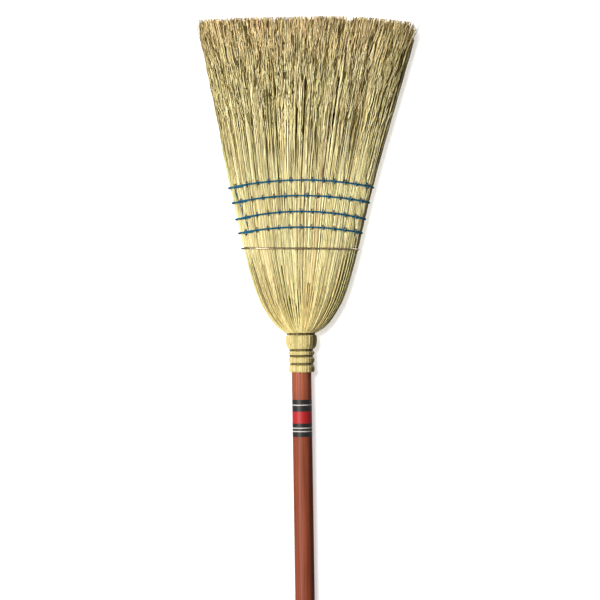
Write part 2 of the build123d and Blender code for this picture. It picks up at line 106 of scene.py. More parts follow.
def progress(value: float, start: float, end: float, most: float = 1.0) -> float:
    """Returns how far a value has come from start, 0, to end, 1, held between 0 and most."""
    return min(max((value - start) / (end - start), 0.0), most)


def bell(x: float) -> float:
    """Returns the height of a bell curve, which is 1 at 0."""
    return math.exp(-x * x)


def eased(places: np.ndarray, values: np.ndarray, grid: np.ndarray) -> np.ndarray:
    """Draws a smooth curve through stations without overshooting them.

    Args:
        places: Where the stations are, rising.
        values: Value at each station.
        grid: Where the curve is wanted.

    Returns:
        The curve's value at each place of the grid.
    """
    rises = np.diff(values) / np.diff(places)
    before, after = rises[:-1], rises[1:]
    total = np.where(before + after == 0, 1, before + after)
    inner = np.where(before * after > 0, 2 * before * after / total, 0)
    slopes = np.concatenate(([rises[0]], inner, [rises[-1]]))
    i = np.clip(np.searchsorted(places, grid, side="right") - 1, 0, len(places) - 2)
    span = places[i + 1] - places[i]
    t = (grid - places[i]) / span
    start = values[i] * (1 + 2 * t) * (1 - t) ** 2 + slopes[i] * span * t * (1 - t) ** 2
    end = values[i + 1] * t * t * (3 - 2 * t) - slopes[i + 1] * span * t * t * (1 - t)
    return start + end


@dataclass(frozen=True)
class Cut:
    """A stretch of the sweep edge that is cut lower towards one side, in shares of the half width."""

    way: int
    begin: float
    depth: float
    power: float

    def drop(self, share: float) -> float:
        """Returns how far the edge has dropped at a share of the half width."""
        return self.depth * progress(self.way * share, self.begin, 1.0, math.inf) ** self.power


@dataclass
class HeadForm:
    """Outline of the straw head at every height, and the bound neck below it."""

    sleeve_z: float
    length: float = 0.4572
    crown_top: float = 0.0516
    square_from: float = 0.157
    round_power: float = 2.0
    sewn_power: float = 2.5
    sweep_set: float = 0.0156
    cuts: tuple[Cut, ...] = (
        Cut(1, 0.25, 0.009, 1.3),
        Cut(1, 0.89, 0.017, 1.1),
        Cut(-1, 0.93, 0.008, 2.0),
    )
    notch_middle: float = 0.362
    notch_half: float = 0.040
    notch_depth: float = 0.0060
    # Height, width and thickness up the head.
    stations: tuple[Triple, ...] = (
        (crown_top, 0.037, 0.037),
        (0.056, 0.0500, 0.0410),
        (0.062, 0.0632, 0.0460),
        (0.078, 0.0865, 0.052),
        (0.094, 0.104, 0.056),
        (0.125, 0.1255, 0.060),
        (square_from, 0.143, 0.058),
        (0.218, 0.171, 0.050),
        (0.250, 0.187, 0.048),
        (0.300, 0.211, 0.053),
        (length, 0.288, 0.070),
    )
    # Height of each groove's middle, and the radius of its floor.
    grooves: tuple[Span, ...] = (
        (0.0104, 0.0143),
        (0.0208, 0.0143),
        (0.0286, 0.0143),
        (0.0494, 0.0170),
    )
    groove_half: float = 0.00195
    groove_wall: float = 0.0003
    ring_radius: float = 0.0159
    ring_edge: float = 0.001
    ring_marks: tuple[float, ...] = (0.0, 0.25, 0.5, 0.75, 1.0)
    # Height and radius up the collar between the last two grooves.
    collar: tuple[Span, ...] = (
        (0.0309, 0.0162),
        (0.0330, 0.0175),
        (0.0355, 0.0185),
        (0.0385, 0.0192),
        (0.0420, 0.0194),
        (0.0450, 0.0193),
        (0.0470, 0.0189),
    )
    curve_steps: int = 500
    angle_steps: int = 720
    widest_share: float = 0.999
    probe: float = 0.001
    grid: np.ndarray = field(init=False, repr=False)
    half_widths: np.ndarray = field(init=False, repr=False)
    half_thicknesses: np.ndarray = field(init=False, repr=False)
    neck: list[Span] = field(init=False, repr=False)

    def __post_init__(self) -> None:
        """Draws the curves of width and thickness, and the neck's profile."""
        places, widths, thicknesses = np.array(self.stations).T
        self.grid = np.linspace(places[0], places[-1], self.curve_steps)
        self.half_widths = eased(places, widths / 2, self.grid)
        self.half_thicknesses = eased(places, thicknesses / 2, self.grid)
        self.neck = self._neck_profile()

    def _neck_profile(self) -> list[Span]:
        """Draws the neck's profile: rings between grooves, then the collar.

        Returns:
            Heights and radii up the neck.
        """
        profile: list[Span] = []
        foot = 0.0
        for middle, floor in self.grooves[:-1]:
            head = middle - self.groove_half
            for share in self.ring_marks:
                swell = self.ring_radius - self.ring_edge * (2 * share - 1) ** 2
                profile.append((foot + (head - foot) * share, swell))
            profile.extend(self._groove(middle, floor))
            foot = middle + self.groove_half
        profile.extend(self.collar)
        profile.extend(self._groove(*self.grooves[-1]))
        profile.append((self.crown_top, self.half_width(self.crown_top)))
        return profile

    def _groove(self, middle: float, floor: float) -> list[Span]:
        """Returns the heights and the radius of a groove's floor."""
        half = self.groove_half - self.groove_wall
        return [(middle - half, floor), (middle + half, floor)]

    def neck_radius(self, h: float) -> float:
        """Returns the neck's radius at a height below the crown's top."""
        return float(np.interp(h, [p[0] for p in self.neck], [p[1] for p in self.neck]))

    def half_width(self, h: float) -> float:
        """Returns half the head's width at a height."""
        return float(np.interp(h, self.grid, self.half_widths))

    def half_thickness(self, h: float) -> float:
        """Returns half the head's thickness at a height."""
        return float(np.interp(h, self.grid, self.half_thicknesses))

    def power(self, h: float) -> float:
        """Returns the outline's exponent: 2 is round, more is squarer."""
        share = progress(h, self.crown_top, self.square_from)
        return self.round_power + (self.sewn_power - self.round_power) * share

    def set_of_straw(self, h: float) -> float:
        """Returns how far the straw has bent to the right of the handle's axis."""
        return self.sweep_set * progress(h, self.crown_top, self.length, math.inf) ** 2

    def outline(self, h: float, turn: float, inset: float = 0.0) -> Vector:
        """Finds a point of the head's outline.

        Args:
            h: Height above the sleeve's lower end.
            turn: Angle about the handle's axis from +X; negative is the front.
            inset: How far the point is moved inwards.

        Returns:
            The point in the part's frame.
        """
        c, s = math.cos(turn), math.sin(turn)
        if h < self.crown_top:
            r = self.neck_radius(max(h, 0)) - inset
            return Vector((r * c, r * s, self.sleeve_z + h))
        power = 2 / self.power(h)
        x = math.copysign(abs(c) ** power, c) * (self.half_width(h) - inset)
        y = math.copysign(abs(s) ** power, s) * (self.half_thickness(h) - inset)
        return Vector((self.set_of_straw(h) + x, y, self.sleeve_z + h))

    def across(self, h: float, turn: float) -> float:
        """Returns how far a point of the outline is from the head's middle."""
        return self.outline(h, turn).x - self.set_of_straw(h)

    def inward(self, h: float, turn: float) -> Vector:
        """Returns the direction into the head at a point of its outline."""
        return (self.outline(h, turn, self.probe) - self.outline(h, turn)).normalized()

    def inside(self, h: float, u: float, v: float, inset: float = 0.0) -> Vector:
        """Finds a point inside the head.

        Args:
            h: Height above the sleeve's lower end.
            u: Share of the half width, negative to the left.
            v: Share of the half thickness, negative to the front.
            inset: How much less than the head's the half width and half thickness are.

        Returns:
            The point in the part's frame.
        """
        x = u * (self.half_width(h) - inset)
        y = v * (self.half_thickness(h) - inset)
        return Vector((self.set_of_straw(h) + x, y, self.sleeve_z + h))

    def surface(self, side: Side, x: float, h: float, lift: float = 0.0) -> Vector:
        """Finds a point over the front or back.

        Args:
            side: Face of the head.
            x: Distance from the head's middle.
            h: Height above the sleeve's lower end.
            lift: Distance off the straw, square to it.

        Returns:
            The point in the part's frame.
        """
        n, a, b = self.power(h), self.half_width(h), self.half_thickness(h)
        share = min(abs(x) / a, self.widest_share)
        y = b * (1 - share**n) ** (1 / n)
        out = Vector((math.copysign(share ** (n - 1) / a, x), side.value * (y / b) ** (n - 1) / b, 0))
        base = Vector((self.set_of_straw(h) + x, side.value * y, self.sleeve_z + h))
        return base + out.normalized() * lift

    def even_angles(self, h: float, count: int) -> list[float]:
        """Splits half the outline at a height into even steps.

        Args:
            h: Height where the steps are even.
            count: Number of steps.

        Returns:
            Angle at the middle of each step, from 0 to pi.
        """
        fine = np.linspace(0, math.pi, self.angle_steps + 1)
        points = [self.outline(h, float(a)) for a in fine]
        steps = [(b - a).length for a, b in zip(points, points[1:])]
        lengths = np.concatenate(([0.0], np.cumsum(steps)))
        marks = (np.arange(count) + 0.5) / count * lengths[-1]
        return [float(a) for a in np.interp(marks, lengths, fine)]

    def trim(self, x: float) -> float:
        """Finds the height where the sweep edge is cut.

        Args:
            x: Distance from the sweep's middle.

        Returns:
            The height above the sleeve's lower end.
        """
        share = x / self.half_width(self.length)
        notch = max(1 - ((share - self.notch_middle) / self.notch_half) ** 2, 0)
        drop = sum(cut.drop(share) for cut in self.cuts) + self.notch_depth * notch
        return self.length - drop


@dataclass(frozen=True)
class SewnRow:
    """One row of sewing: its height at the head's middle, and its drop and tilt at the sides."""

    number: int
    middle: float
    drop: float
    tilt: float = 0.0011
    pitch: float = 0.0141
    reach: float = 0.92

    def height(self, form: HeadForm, x: float) -> float:
        """Returns the row's height at a distance x from the head's middle."""
        share = x / form.half_width(self.middle)
        return self.middle - self.drop * share**2 - self.tilt * share

    def first(self, form: HeadForm) -> tuple[float, int]:
        """Returns where the rightmost front stitch is, and how many front stitches there are."""
        count = int(2 * self.reach * form.half_width(self.middle) / self.pitch) + 1
        return self.pitch * (count - 1) / 2, count

    def stitches(self, form: HeadForm) -> list[tuple[Side, float]]:
        """Lists the stitches.

        Args:
            form: The head that is sewn.

        Returns:
            Face and distance from the middle, from right to left, front and back by turns.
        """
        first, count = self.first(form)
        places: list[tuple[Side, float]] = []
        for i in range(count):
            places.append((Side.FRONT, first - self.pitch * i))
            if i + 1 < count:
                places.append((Side.BACK, first - self.pitch * (i + 0.5)))
        return places

    def off_stitch(self, form: HeadForm, side: Side, x: float) -> float:
        """Measures how far a place is from the nearest stitch.

        Args:
            form: The head that is sewn.
            side: Face of the head.
            x: Distance from the head's middle.

        Returns:
            The distance, at most half the pitch.
        """
        first, _ = self.first(form)
        shift = 0.0 if side is Side.FRONT else self.pitch / 2
        if abs(x) > first + self.pitch / 4:
            return self.pitch / 2
        return abs((x - first + shift + self.pitch / 2) % self.pitch - self.pitch / 2)


ROWS = (
    SewnRow(1, 0.2483, 0.0096),
    SewnRow(2, 0.2282, 0.0090),
    SewnRow(3, 0.2077, 0.0099),
    SewnRow(4, 0.1875, 0.0075),
)
TOP_ROW = ROWS[0]


class ShaderBench:
    """A material under construction, with its shader and short ways to add nodes."""

    def __init__(self, name: str) -> None:
        """Starts a material with one Principled shader.

        Args:
            name: Name of the material.
        """
        self.material = bpy.data.materials.new(name)
        self.material.use_nodes = True
        self.tree = self.material.node_tree
        self.shader = self.tree.nodes["Principled BSDF"]

    def set(self, **values: float) -> None:
        """Sets sockets of the shader by name, with _ for a space."""
        for name, value in values.items():
            self.shader.inputs[name.replace("_", " ")].default_value = value

    def node(self, kind: str, **settings: str) -> bpy.types.Node:
        """Adds a node.

        Args:
            kind: The node's type.
            settings: Its own properties.

        Returns:
            The node.
        """
        made = self.tree.nodes.new(kind)
        for name, value in settings.items():
            setattr(made, name, value)
        return made

    def link(self, source: bpy.types.NodeSocket, target: bpy.types.NodeSocket) -> None:
        """Joins two sockets."""
        self.tree.links.new(source, target)

    def feed(self, source: bpy.types.NodeSocket, name: str) -> None:
        """Joins a socket to the shader's input of that name."""
        self.link(source, self.shader.inputs[name])

    def object_noise(self, stretch: Triple, detail: float = 3.0) -> bpy.types.NodeSocket:
        """Adds noise on Object coordinates.

        Args:
            stretch: Cells per metre along X, Y and Z.
            detail: Octaves of the noise.

        Returns:
            The noise's factor.
        """
        place = self.node("ShaderNodeTexCoord")
        mapping = self.node("ShaderNodeMapping")
        mapping.inputs["Scale"].default_value = stretch
        noise = self.node("ShaderNodeTexNoise")
        noise.inputs["Scale"].default_value = 1.0
        noise.inputs["Detail"].default_value = detail
        self.link(place.outputs["Object"], mapping.inputs["Vector"])
        self.link(mapping.outputs["Vector"], noise.inputs["Vector"])
        return noise.outputs["Fac"]

    def remap(self, source: bpy.types.NodeSocket, given: Span, wanted: Span) -> bpy.types.NodeSocket:
        """Adds a node that carries a value from one span to another.

        Args:
            source: The value.
            given: Span that it is read over.
            wanted: Span that it is carried to.

        Returns:
            The new value, held inside its span.
        """
        made = self.node("ShaderNodeMapRange")
        for name, value in zip(("From Min", "From Max", "To Min", "To Max"), given + wanted):
            made.inputs[name].default_value = value
        self.link(source, made.inputs["Value"])
        return made.outputs["Result"]

    def share_of_height(self, low: float, high: float) -> bpy.types.NodeSocket:
        """Adds nodes that read the height on Object coordinates.

        Args:
            low: Height that gives 0.
            high: Height that gives 1.

        Returns:
            The share of the way from low to high.
        """
        place = self.node("ShaderNodeTexCoord")
        split = self.node("ShaderNodeSeparateXYZ")
        self.link(place.outputs["Object"], split.inputs["Vector"])
        return self.remap(split.outputs["Z"], (low, high), WHOLE)

    def ramp(
        self, source: bpy.types.NodeSocket, places: Span, low: Colour, high: Colour
    ) -> bpy.types.NodeSocket:
        """Adds a ramp between two colours.

        Args:
            source: Factor that the ramp reads.
            places: Factors where the ramp starts and ends.
            low: Linear colour up to its start.
            high: Linear colour from its end.

        Returns:
            The ramp's colour.
        """
        made = self.node("ShaderNodeValToRGB")
        for element, place, colour in zip(made.color_ramp.elements, places, (low, high)):
            element.position = place
            element.color = (*colour, 1)
        self.link(source, made.inputs["Fac"])
        return made.outputs["Color"]

    def multiply(
        self, first: bpy.types.NodeSocket, second: bpy.types.NodeSocket
    ) -> bpy.types.NodeSocket:
        """Adds a node that multiplies two colours.

        Args:
            first: One colour.
            second: The other colour.

        Returns:
            The product.
        """
        made = self.node("ShaderNodeMix", data_type="RGBA", blend_type="MULTIPLY")
        made.inputs["Factor"].default_value = 1.0
        self.link(first, made.inputs["A"])
        self.link(second, made.inputs["B"])
        return made.outputs["Result"]

    def bump(self, source: bpy.types.NodeSocket, depth: float, strength: float = 1.0) -> None:
        """Gives the shader a bump.

        Args:
            source: Factor that the bump follows.
            depth: Its depth in metres.
            strength: Share of it that shows.
        """
        made = self.node("ShaderNodeBump")
        made.inputs["Distance"].default_value = depth
        made.inputs["Strength"].default_value = strength
        self.link(source, made.inputs["Height"])
        self.feed(made.outputs["Normal"], "Normal")


@dataclass(frozen=True)
class StrawFinish:
    """Dry broom corn: the tone of each straw, with streaks along it."""

    name: str = "broom_corn_straw"
    streaks: Triple = (900.0, 900.0, 45.0)
    streak_places: Span = (0.33, 0.55)
    streak_dark: Colour = (0.62, 0.58, 0.50)
    roughness: float = 0.55
    flatness: float = 1.0
    specular: float = 0.3

    def make(self) -> bpy.types.Material:
        """Makes the material.

        Returns:
            The material.
        """
        bench = ShaderBench(self.name)
        tone = bench.node("ShaderNodeAttribute", attribute_name=TONE_LAYER)
        noise = bench.object_noise(self.streaks)
        streaks = bench.ramp(noise, self.streak_places, self.streak_dark, WHITE)
        bench.feed(bench.multiply(tone.outputs["Color"], streaks), "Base Color")
        bench.set(Roughness=self.roughness, Diffuse_Roughness=self.flatness)
        bench.set(Specular_IOR_Level=self.specular)
        return bench.material


@dataclass(frozen=True)
class BedFinish:
    """Packed straw seen in the gaps between the outer straws, with painted shade that darkens it under the
    bristles.
    """

    name: str = "packed_straw"
    dark: Srgb = (140, 118, 62)
    light: Srgb = (202, 182, 112)
    # Painted shade: the tone that the bed takes on where the bristles cover it.
    deep: Colour = (0.34, 0.30, 0.20)
    streaks: Triple = (700.0, 700.0, 18.0)
    streak_detail: float = 4.0
    streak_places: Span = (0.35, 0.62)
    relief: float = 0.001
    roughness: float = 0.8
    flatness: float = 1.0

    def make(self, low: float, high: float) -> bpy.types.Material:
        """Makes the material.

        Args:
            low: Height where the painted shade starts under the bristles.
            high: Height where the painted shade is darkest.

        Returns:
            The material.
        """
        bench = ShaderBench(self.name)
        noise = bench.object_noise(self.streaks, self.streak_detail)
        colour = bench.ramp(noise, self.streak_places, linear(self.dark), linear(self.light))
        # Painted shade, growing from the top row up to where the bristles start.
        under = bench.ramp(bench.share_of_height(low, high), WHOLE, WHITE, self.deep)
        bench.feed(bench.multiply(colour, under), "Base Color")
        bench.bump(noise, self.relief)
        bench.set(Roughness=self.roughness, Diffuse_Roughness=self.flatness)
        return bench.material


@dataclass(frozen=True)
class TwineFinish:
    """Dyed sewing twine, fuzzy and matt."""

    name: str = "blue_sewing_twine"
    dark: Srgb = (9, 63, 88)
    light: Srgb = (32, 110, 142)
    fuzz: Triple = (1400.0, 1400.0, 1400.0)
    fuzz_places: Span = (0.36, 0.66)
    relief: float = 0.0003
    roughness: float = 0.85
    specular: float = 0.2

    def make(self) -> bpy.types.Material:
        """Makes the material.

        Returns:
            The material.
        """
        bench = ShaderBench(self.name)
        noise = bench.object_noise(self.fuzz)
        colour = bench.ramp(noise, self.fuzz_places, linear(self.dark), linear(self.light))
        bench.feed(colour, "Base Color")
        bench.bump(noise, self.relief)
        bench.set(Roughness=self.roughness, Specular_IOR_Level=self.specular)
        return bench.material


@dataclass(frozen=True)
class WireFinish:
    """Drawn steel wire, dulled in patches."""

    name: str
    dark: Srgb
    light: Srgb
    smooth: float
    rough: float
    patches: Triple = (260.0, 260.0, 420.0)
    patch_places: Span = (0.35, 0.65)
    metallic: float = 1.0
    specular: float = 0.5

    def make(self) -> bpy.types.Material:
        """Makes the material.

        Returns:
            The material.
        """
        bench = ShaderBench(self.name)
        noise = bench.object_noise(self.patches)
        colour = bench.ramp(noise, self.patch_places, linear(self.dark), linear(self.light))
        bench.feed(colour, "Base Color")
        bench.feed(bench.remap(noise, WHOLE, (self.smooth, self.rough)), "Roughness")
        bench.set(Metallic=self.metallic, Specular_IOR_Level=self.specular)
        return bench.material


@dataclass(frozen=True)
class LacquerFinish:
    """Brick-red lacquer over turned wood, with the grain faint under it, and a painted sheen that makes it
    paler and pinker near the straw.
    """

    name: str = "brick_red_lacquer"
    dark: Srgb = (132, 68, 47)
    light: Srgb = (168, 91, 65)
    grain: Triple = (420.0, 420.0, 9.0)
    grain_detail: float = 5.0
    grain_places: Span = (0.30, 0.62)
    relief: float = 0.00012
    relief_strength: float = 0.6
    patches: Triple = (60.0, 60.0, 14.0)
    patch_detail: float = 2.0
    patch_places: Span = (0.3, 0.7)
    patch_dark: Colour = (0.86, 0.84, 0.82)
    # Below the painted sheen the tone is multiplied by deep, and above it by the sheen's paler, pinker
    # tint.
    deep: Colour = (0.68, 0.63, 0.60)
    painted_sheen: Colour = (1.0, 1.06, 1.12)
    painted_sheen_span: Span = (0.920, 0.945)
    smooth: float = 0.34
    rough: float = 0.46
    specular: float = 0.0
    coat: float = 0.2
    coat_roughness: float = 0.40

    def make(self) -> bpy.types.Material:
        """Makes the material.

        Returns:
            The material.
        """
        bench = ShaderBench(self.name)
        grain = bench.object_noise(self.grain, self.grain_detail)
        colour = bench.ramp(grain, self.grain_places, linear(self.dark), linear(self.light))
        patches = bench.object_noise(self.patches, self.patch_detail)
        shade = bench.ramp(patches, self.patch_places, self.patch_dark, WHITE)
        # Painted sheen: the tone turns paler and pinker near the straw.
        wear_and_sheen = bench.ramp(bench.share_of_height(*self.painted_sheen_span), WHOLE, self.deep, self.painted_sheen)
        bench.feed(bench.multiply(bench.multiply(colour, shade), wear_and_sheen), "Base Color")
        bench.feed(bench.remap(patches, WHOLE, (self.smooth, self.rough)), "Roughness")
        bench.bump(grain, self.relief, self.relief_strength)
        bench.set(Specular_IOR_Level=self.specular)
        bench.set(Coat_Weight=self.coat, Coat_Roughness=self.coat_roughness)
        return bench.material


@dataclass(frozen=True)
class LabelFinish:
    """Dark printed film with a plain red hoop and thin pale hoops round it."""

    name: str = "label_film"
    ground: Srgb = (24, 22, 22)
    red: Srgb = (164, 32, 34)
    pale: Srgb = (196, 190, 182)
    red_hoop: Span = (0.36, 0.68)
    pale_hoops: tuple[Span, ...] = ((0.13, 0.16), (0.22, 0.25), (0.84, 0.87))
    scuffs: Triple = (900.0, 900.0, 500.0)
    scuff_detail: float = 4.0
    scuff_places: Span = (0.28, 0.5)
    scuff_dark: Colour = (0.7, 0.7, 0.7)
    roughness: float = 0.5
    specular: float = 0.25

    def make(self, low: float, high: float) -> bpy.types.Material:
        """Makes the material.

        Args:
            low: Height of the label's lower edge.
            high: Height of its upper edge.

        Returns:
            The material.
        """
        bench = ShaderBench(self.name)
        ground = (*linear(self.ground), 1)
        ramp = bench.node("ShaderNodeValToRGB")
        ramp.color_ramp.interpolation = "CONSTANT"
        elements = ramp.color_ramp.elements
        for element in elements:
            element.color = ground
        hoops = [(self.red_hoop, self.red)] + [(hoop, self.pale) for hoop in self.pale_hoops]
        for (start, end), colour in hoops:
            elements.new(start).color = (*linear(colour), 1)
            elements.new(end).color = ground
        bench.link(bench.share_of_height(low, high), ramp.inputs["Fac"])
        noise = bench.object_noise(self.scuffs, self.scuff_detail)
        wear_and_sheen = bench.ramp(noise, self.scuff_places, self.scuff_dark, WHITE)
        bench.feed(bench.multiply(ramp.outputs["Color"], wear_and_sheen), "Base Color")
        bench.set(Roughness=self.roughness, Specular_IOR_Level=self.specular)
        return bench.material


class Piece:
    """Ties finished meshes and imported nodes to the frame."""

    @staticmethod
    def add(mesh: bpy.types.Mesh, material: bpy.types.Material, slot: str, node: str) -> None:
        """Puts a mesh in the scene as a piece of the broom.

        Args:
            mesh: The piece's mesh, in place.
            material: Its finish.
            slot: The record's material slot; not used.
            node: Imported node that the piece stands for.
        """
        mesh.materials.append(material)
        made = bpy.data.objects.new(mesh.name, mesh)
        bpy.context.scene.collection.objects.link(made)
        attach(made, "root")
        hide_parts(node)
        LOG.info("%s: %d faces", made.name, len(mesh.polygons))

    @staticmethod
    def dress(node: str, material: bpy.types.Material) -> None:
        """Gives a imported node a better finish.

        Args:
            node: The node.
            material: The finish.
        """
        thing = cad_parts[node]
        thing.data.materials.clear()
        thing.data.materials.append(material)
        LOG.info("%s: dressed with %s", node, material.name)


def as_mesh(curve: bpy.types.Curve, name: str) -> bpy.types.Mesh:
    """Turns a curve into a mesh and removes the curve.

    Args:
        curve: The curve, in place.
        name: Name of the mesh.

    Returns:
        The mesh.
    """
    holder = bpy.data.objects.new(name + "_line", curve)
    bpy.context.scene.collection.objects.link(holder)
    graph = bpy.context.evaluated_depsgraph_get()
    made = bpy.data.meshes.new_from_object(holder.evaluated_get(graph))
    made.name = name
    bpy.data.objects.remove(holder)
    bpy.data.curves.remove(curve)
    return made


def close_ends(mesh: bpy.types.Mesh, sides: int) -> None:
    """Closes the open ends of tubes.

    Args:
        mesh: The tubes.
        sides: Number of sides of each tube.
    """
    work = bmesh.new()
    work.from_mesh(mesh)
    rims = [e for e in work.edges if e.is_boundary]
    bmesh.ops.holes_fill(work, edges=rims, sides=sides)
    bmesh.ops.recalc_face_normals(work, faces=work.faces)
    work.to_mesh(mesh)
    work.free()


def smooth_line(points: list[Vector], per_span: int) -> list[Vector]:
    """Reads points from a smooth line led by control points.

    Args:
        points: Control points of the line.
        per_span: Points to read for each control point.

    Returns:
        The points in order.
    """
    curve = bpy.data.curves.new("route", "CURVE")
    curve.dimensions = "3D"
    curve.resolution_u = per_span
    spline = curve.splines.new("NURBS")
    spline.points.add(len(points) - 1)
    spline.points.foreach_set("co", [c for p in points for c in (*p, 1.0)])
    spline.use_endpoint_u = True
    spline.order_u = 3
    mesh = as_mesh(curve, "route")
    read = [v.co.copy() for v in mesh.vertices]
    bpy.data.meshes.remove(mesh)
    return read


@dataclass
class Strand:
    """The line of a tube, with a radius and a tone at each point."""

    line: list[Vector] = field(default_factory=list)
    radii: list[float] = field(default_factory=list)
    tones: list[Colour] = field(default_factory=list)

    def add(self, place: Vector, radius: float, tone: Colour) -> None:
        """Adds a point at the end of the line.

        Args:
            place: The point.
            radius: The tube's radius there.
            tone: Its linear colour there.
        """
        self.line.append(place)
        self.radii.append(radius)
        self.tones.append(tone)


@dataclass
class Tubes:
    """Round tubes that share one mesh, with tones and a strip of UV map for each."""

    name: str
    resolution: int = 0
    strip_aspect: float = 80.0
    side_gap: float = 0.06
    end_gap: float = 0.01
    strands: list[Strand] = field(default_factory=list)

    def mesh(self) -> bpy.types.Mesh:
        """Builds the tubes.

        Returns:
            One mesh with closed ends, tones and UV map.
        """
        curve = bpy.data.curves.new(self.name, "CURVE")
        curve.dimensions = "3D"
        # A bevel of 1 m makes the radius of each point its real size.
        curve.bevel_depth = 1.0
        curve.bevel_resolution = self.resolution
        for strand in self.strands:
            spline = curve.splines.new("POLY")
            spline.points.add(len(strand.line) - 1)
            spline.points.foreach_set("co", [c for p in strand.line for c in (*p, 1.0)])
            spline.points.foreach_set("radius", strand.radii)
        made = as_mesh(curve, self.name)
        sides = len(made.vertices) // sum(len(strand.line) for strand in self.strands)
        close_ends(made, sides)
        self._paint(made, sides)
        self._unroll(made, sides)
        made.shade_smooth()
        return made

    def _paint(self, mesh: bpy.types.Mesh, sides: int) -> None:
        """Writes the tones of the tubes to the mesh.

        Args:
            mesh: The tubes.
            sides: Number of sides of each tube.
        """
        tones = np.array([t for strand in self.strands for t in strand.tones], dtype=np.float32)
        colours = np.ones((len(tones) * sides, 4), dtype=np.float32)
        colours[:, :3] = np.repeat(tones, sides, axis=0)
        layer = mesh.color_attributes.new(TONE_LAYER, "FLOAT_COLOR", "POINT")
        layer.data.foreach_set("color", colours.ravel())

    def _unroll(self, mesh: bpy.types.Mesh, sides: int) -> None:
        """Gives each tube its own strip of the UV map, strips side by side in a few rows.

        Args:
            mesh: The tubes.
            sides: Number of sides of each tube.
        """
        rows = max(1, round(math.sqrt(len(self.strands) / self.strip_aspect)))
        columns = math.ceil(len(self.strands) / rows)
        column, row, share = [], [], []
        for k, strand in enumerate(self.strands):
            count = len(strand.line)
            column += [k % columns] * count
            row += [k // columns] * count
            share += [i / (count - 1) for i in range(count)]
        corners = np.empty(len(mesh.loops), dtype=np.int64)
        mesh.loops.foreach_get("vertex_index", corners)
        starts = np.empty(len(mesh.polygons), dtype=np.int64)
        mesh.polygons.foreach_get("loop_start", starts)
        face = np.repeat(np.arange(len(starts)), np.diff(np.append(starts, len(corners))))
        point, side = corners // sides, corners % sides
        highest = np.zeros(len(starts), dtype=np.int64)
        np.maximum.at(highest, face, side)
        side = np.where((side == 0) & (highest[face] == sides - 1), sides, side)
        wide, long = 1 - 2 * self.side_gap, 1 - 2 * self.end_gap
        across = (np.array(column)[point] + self.side_gap + wide * side / sides) / columns
        up = (np.array(row)[point] + self.end_gap + long * np.array(share)[point]) / rows
        layer = mesh.uv_layers.new(name="strips")
        layer.data.foreach_set("uv", np.stack((across, up), axis=1).astype(np.float32).ravel())


@dataclass(frozen=True)
class Wave:
    """A wave up a straw: its rate in radians for each metre, and its phase."""

    rate: float
    phase: float

    def at(self, h: float) -> float:
        """Returns the wave's swing at a height, from -1 to 1."""
        return math.sin(self.rate * h + self.phase)


@dataclass(frozen=True)
class Lock:
    """A few neighbouring bristles that lie and crinkle together."""

    gain: float
    size: float
    sunk: float
    waves: tuple[Wave, ...]


@dataclass(frozen=True)
class Slit:
    """A long dark gap where neighbouring bristles have spread.

    Its place is a share of the head's half width, and its other sizes are in metres.
    """

    place: float
    low: float
    high: float
    width: float

    def opening(self, h: float) -> float:
        """Measures the gap at a height.

        Args:
            h: Height above the sleeve's lower end.

        Returns:
            Half the gap's width.
        """
        if not self.low < h < self.high:
            return 0.0
        return self.width * math.sqrt(math.sin(math.pi * (h - self.low) / (self.high - self.low)))


@dataclass(frozen=True)
class Straw:
    """One straw of the cover: its place round the head, radius, tone, depth, and its lie on the flare.

    On the flare it is behind its neighbours by a depth, or proud of them by a negative one, and darkened by
    a share of its tone as painted shade.
    """

    side: Side
    angle: float
    radius: float
    tone: Colour
    depth: float
    behind: float
    shaded: float


@dataclass(frozen=True)
class Bristle:
    """One bristle: its straight run from root to tip, and what it lies among.

    The run goes from the sewing to the untrimmed sweep, and start and end are the heights that the bristle
    spans of it.
    """

    root: Vector
    tip: Vector
    start: float
    end: float
    inward: Vector
    points: int
    lock: Lock
    slits: tuple[Slit, ...] = ()
    gain: float = 1.0
    # Painted shade tint for a bristle that lies deep; white for none.
    painted_shade_tint: Colour = WHITE


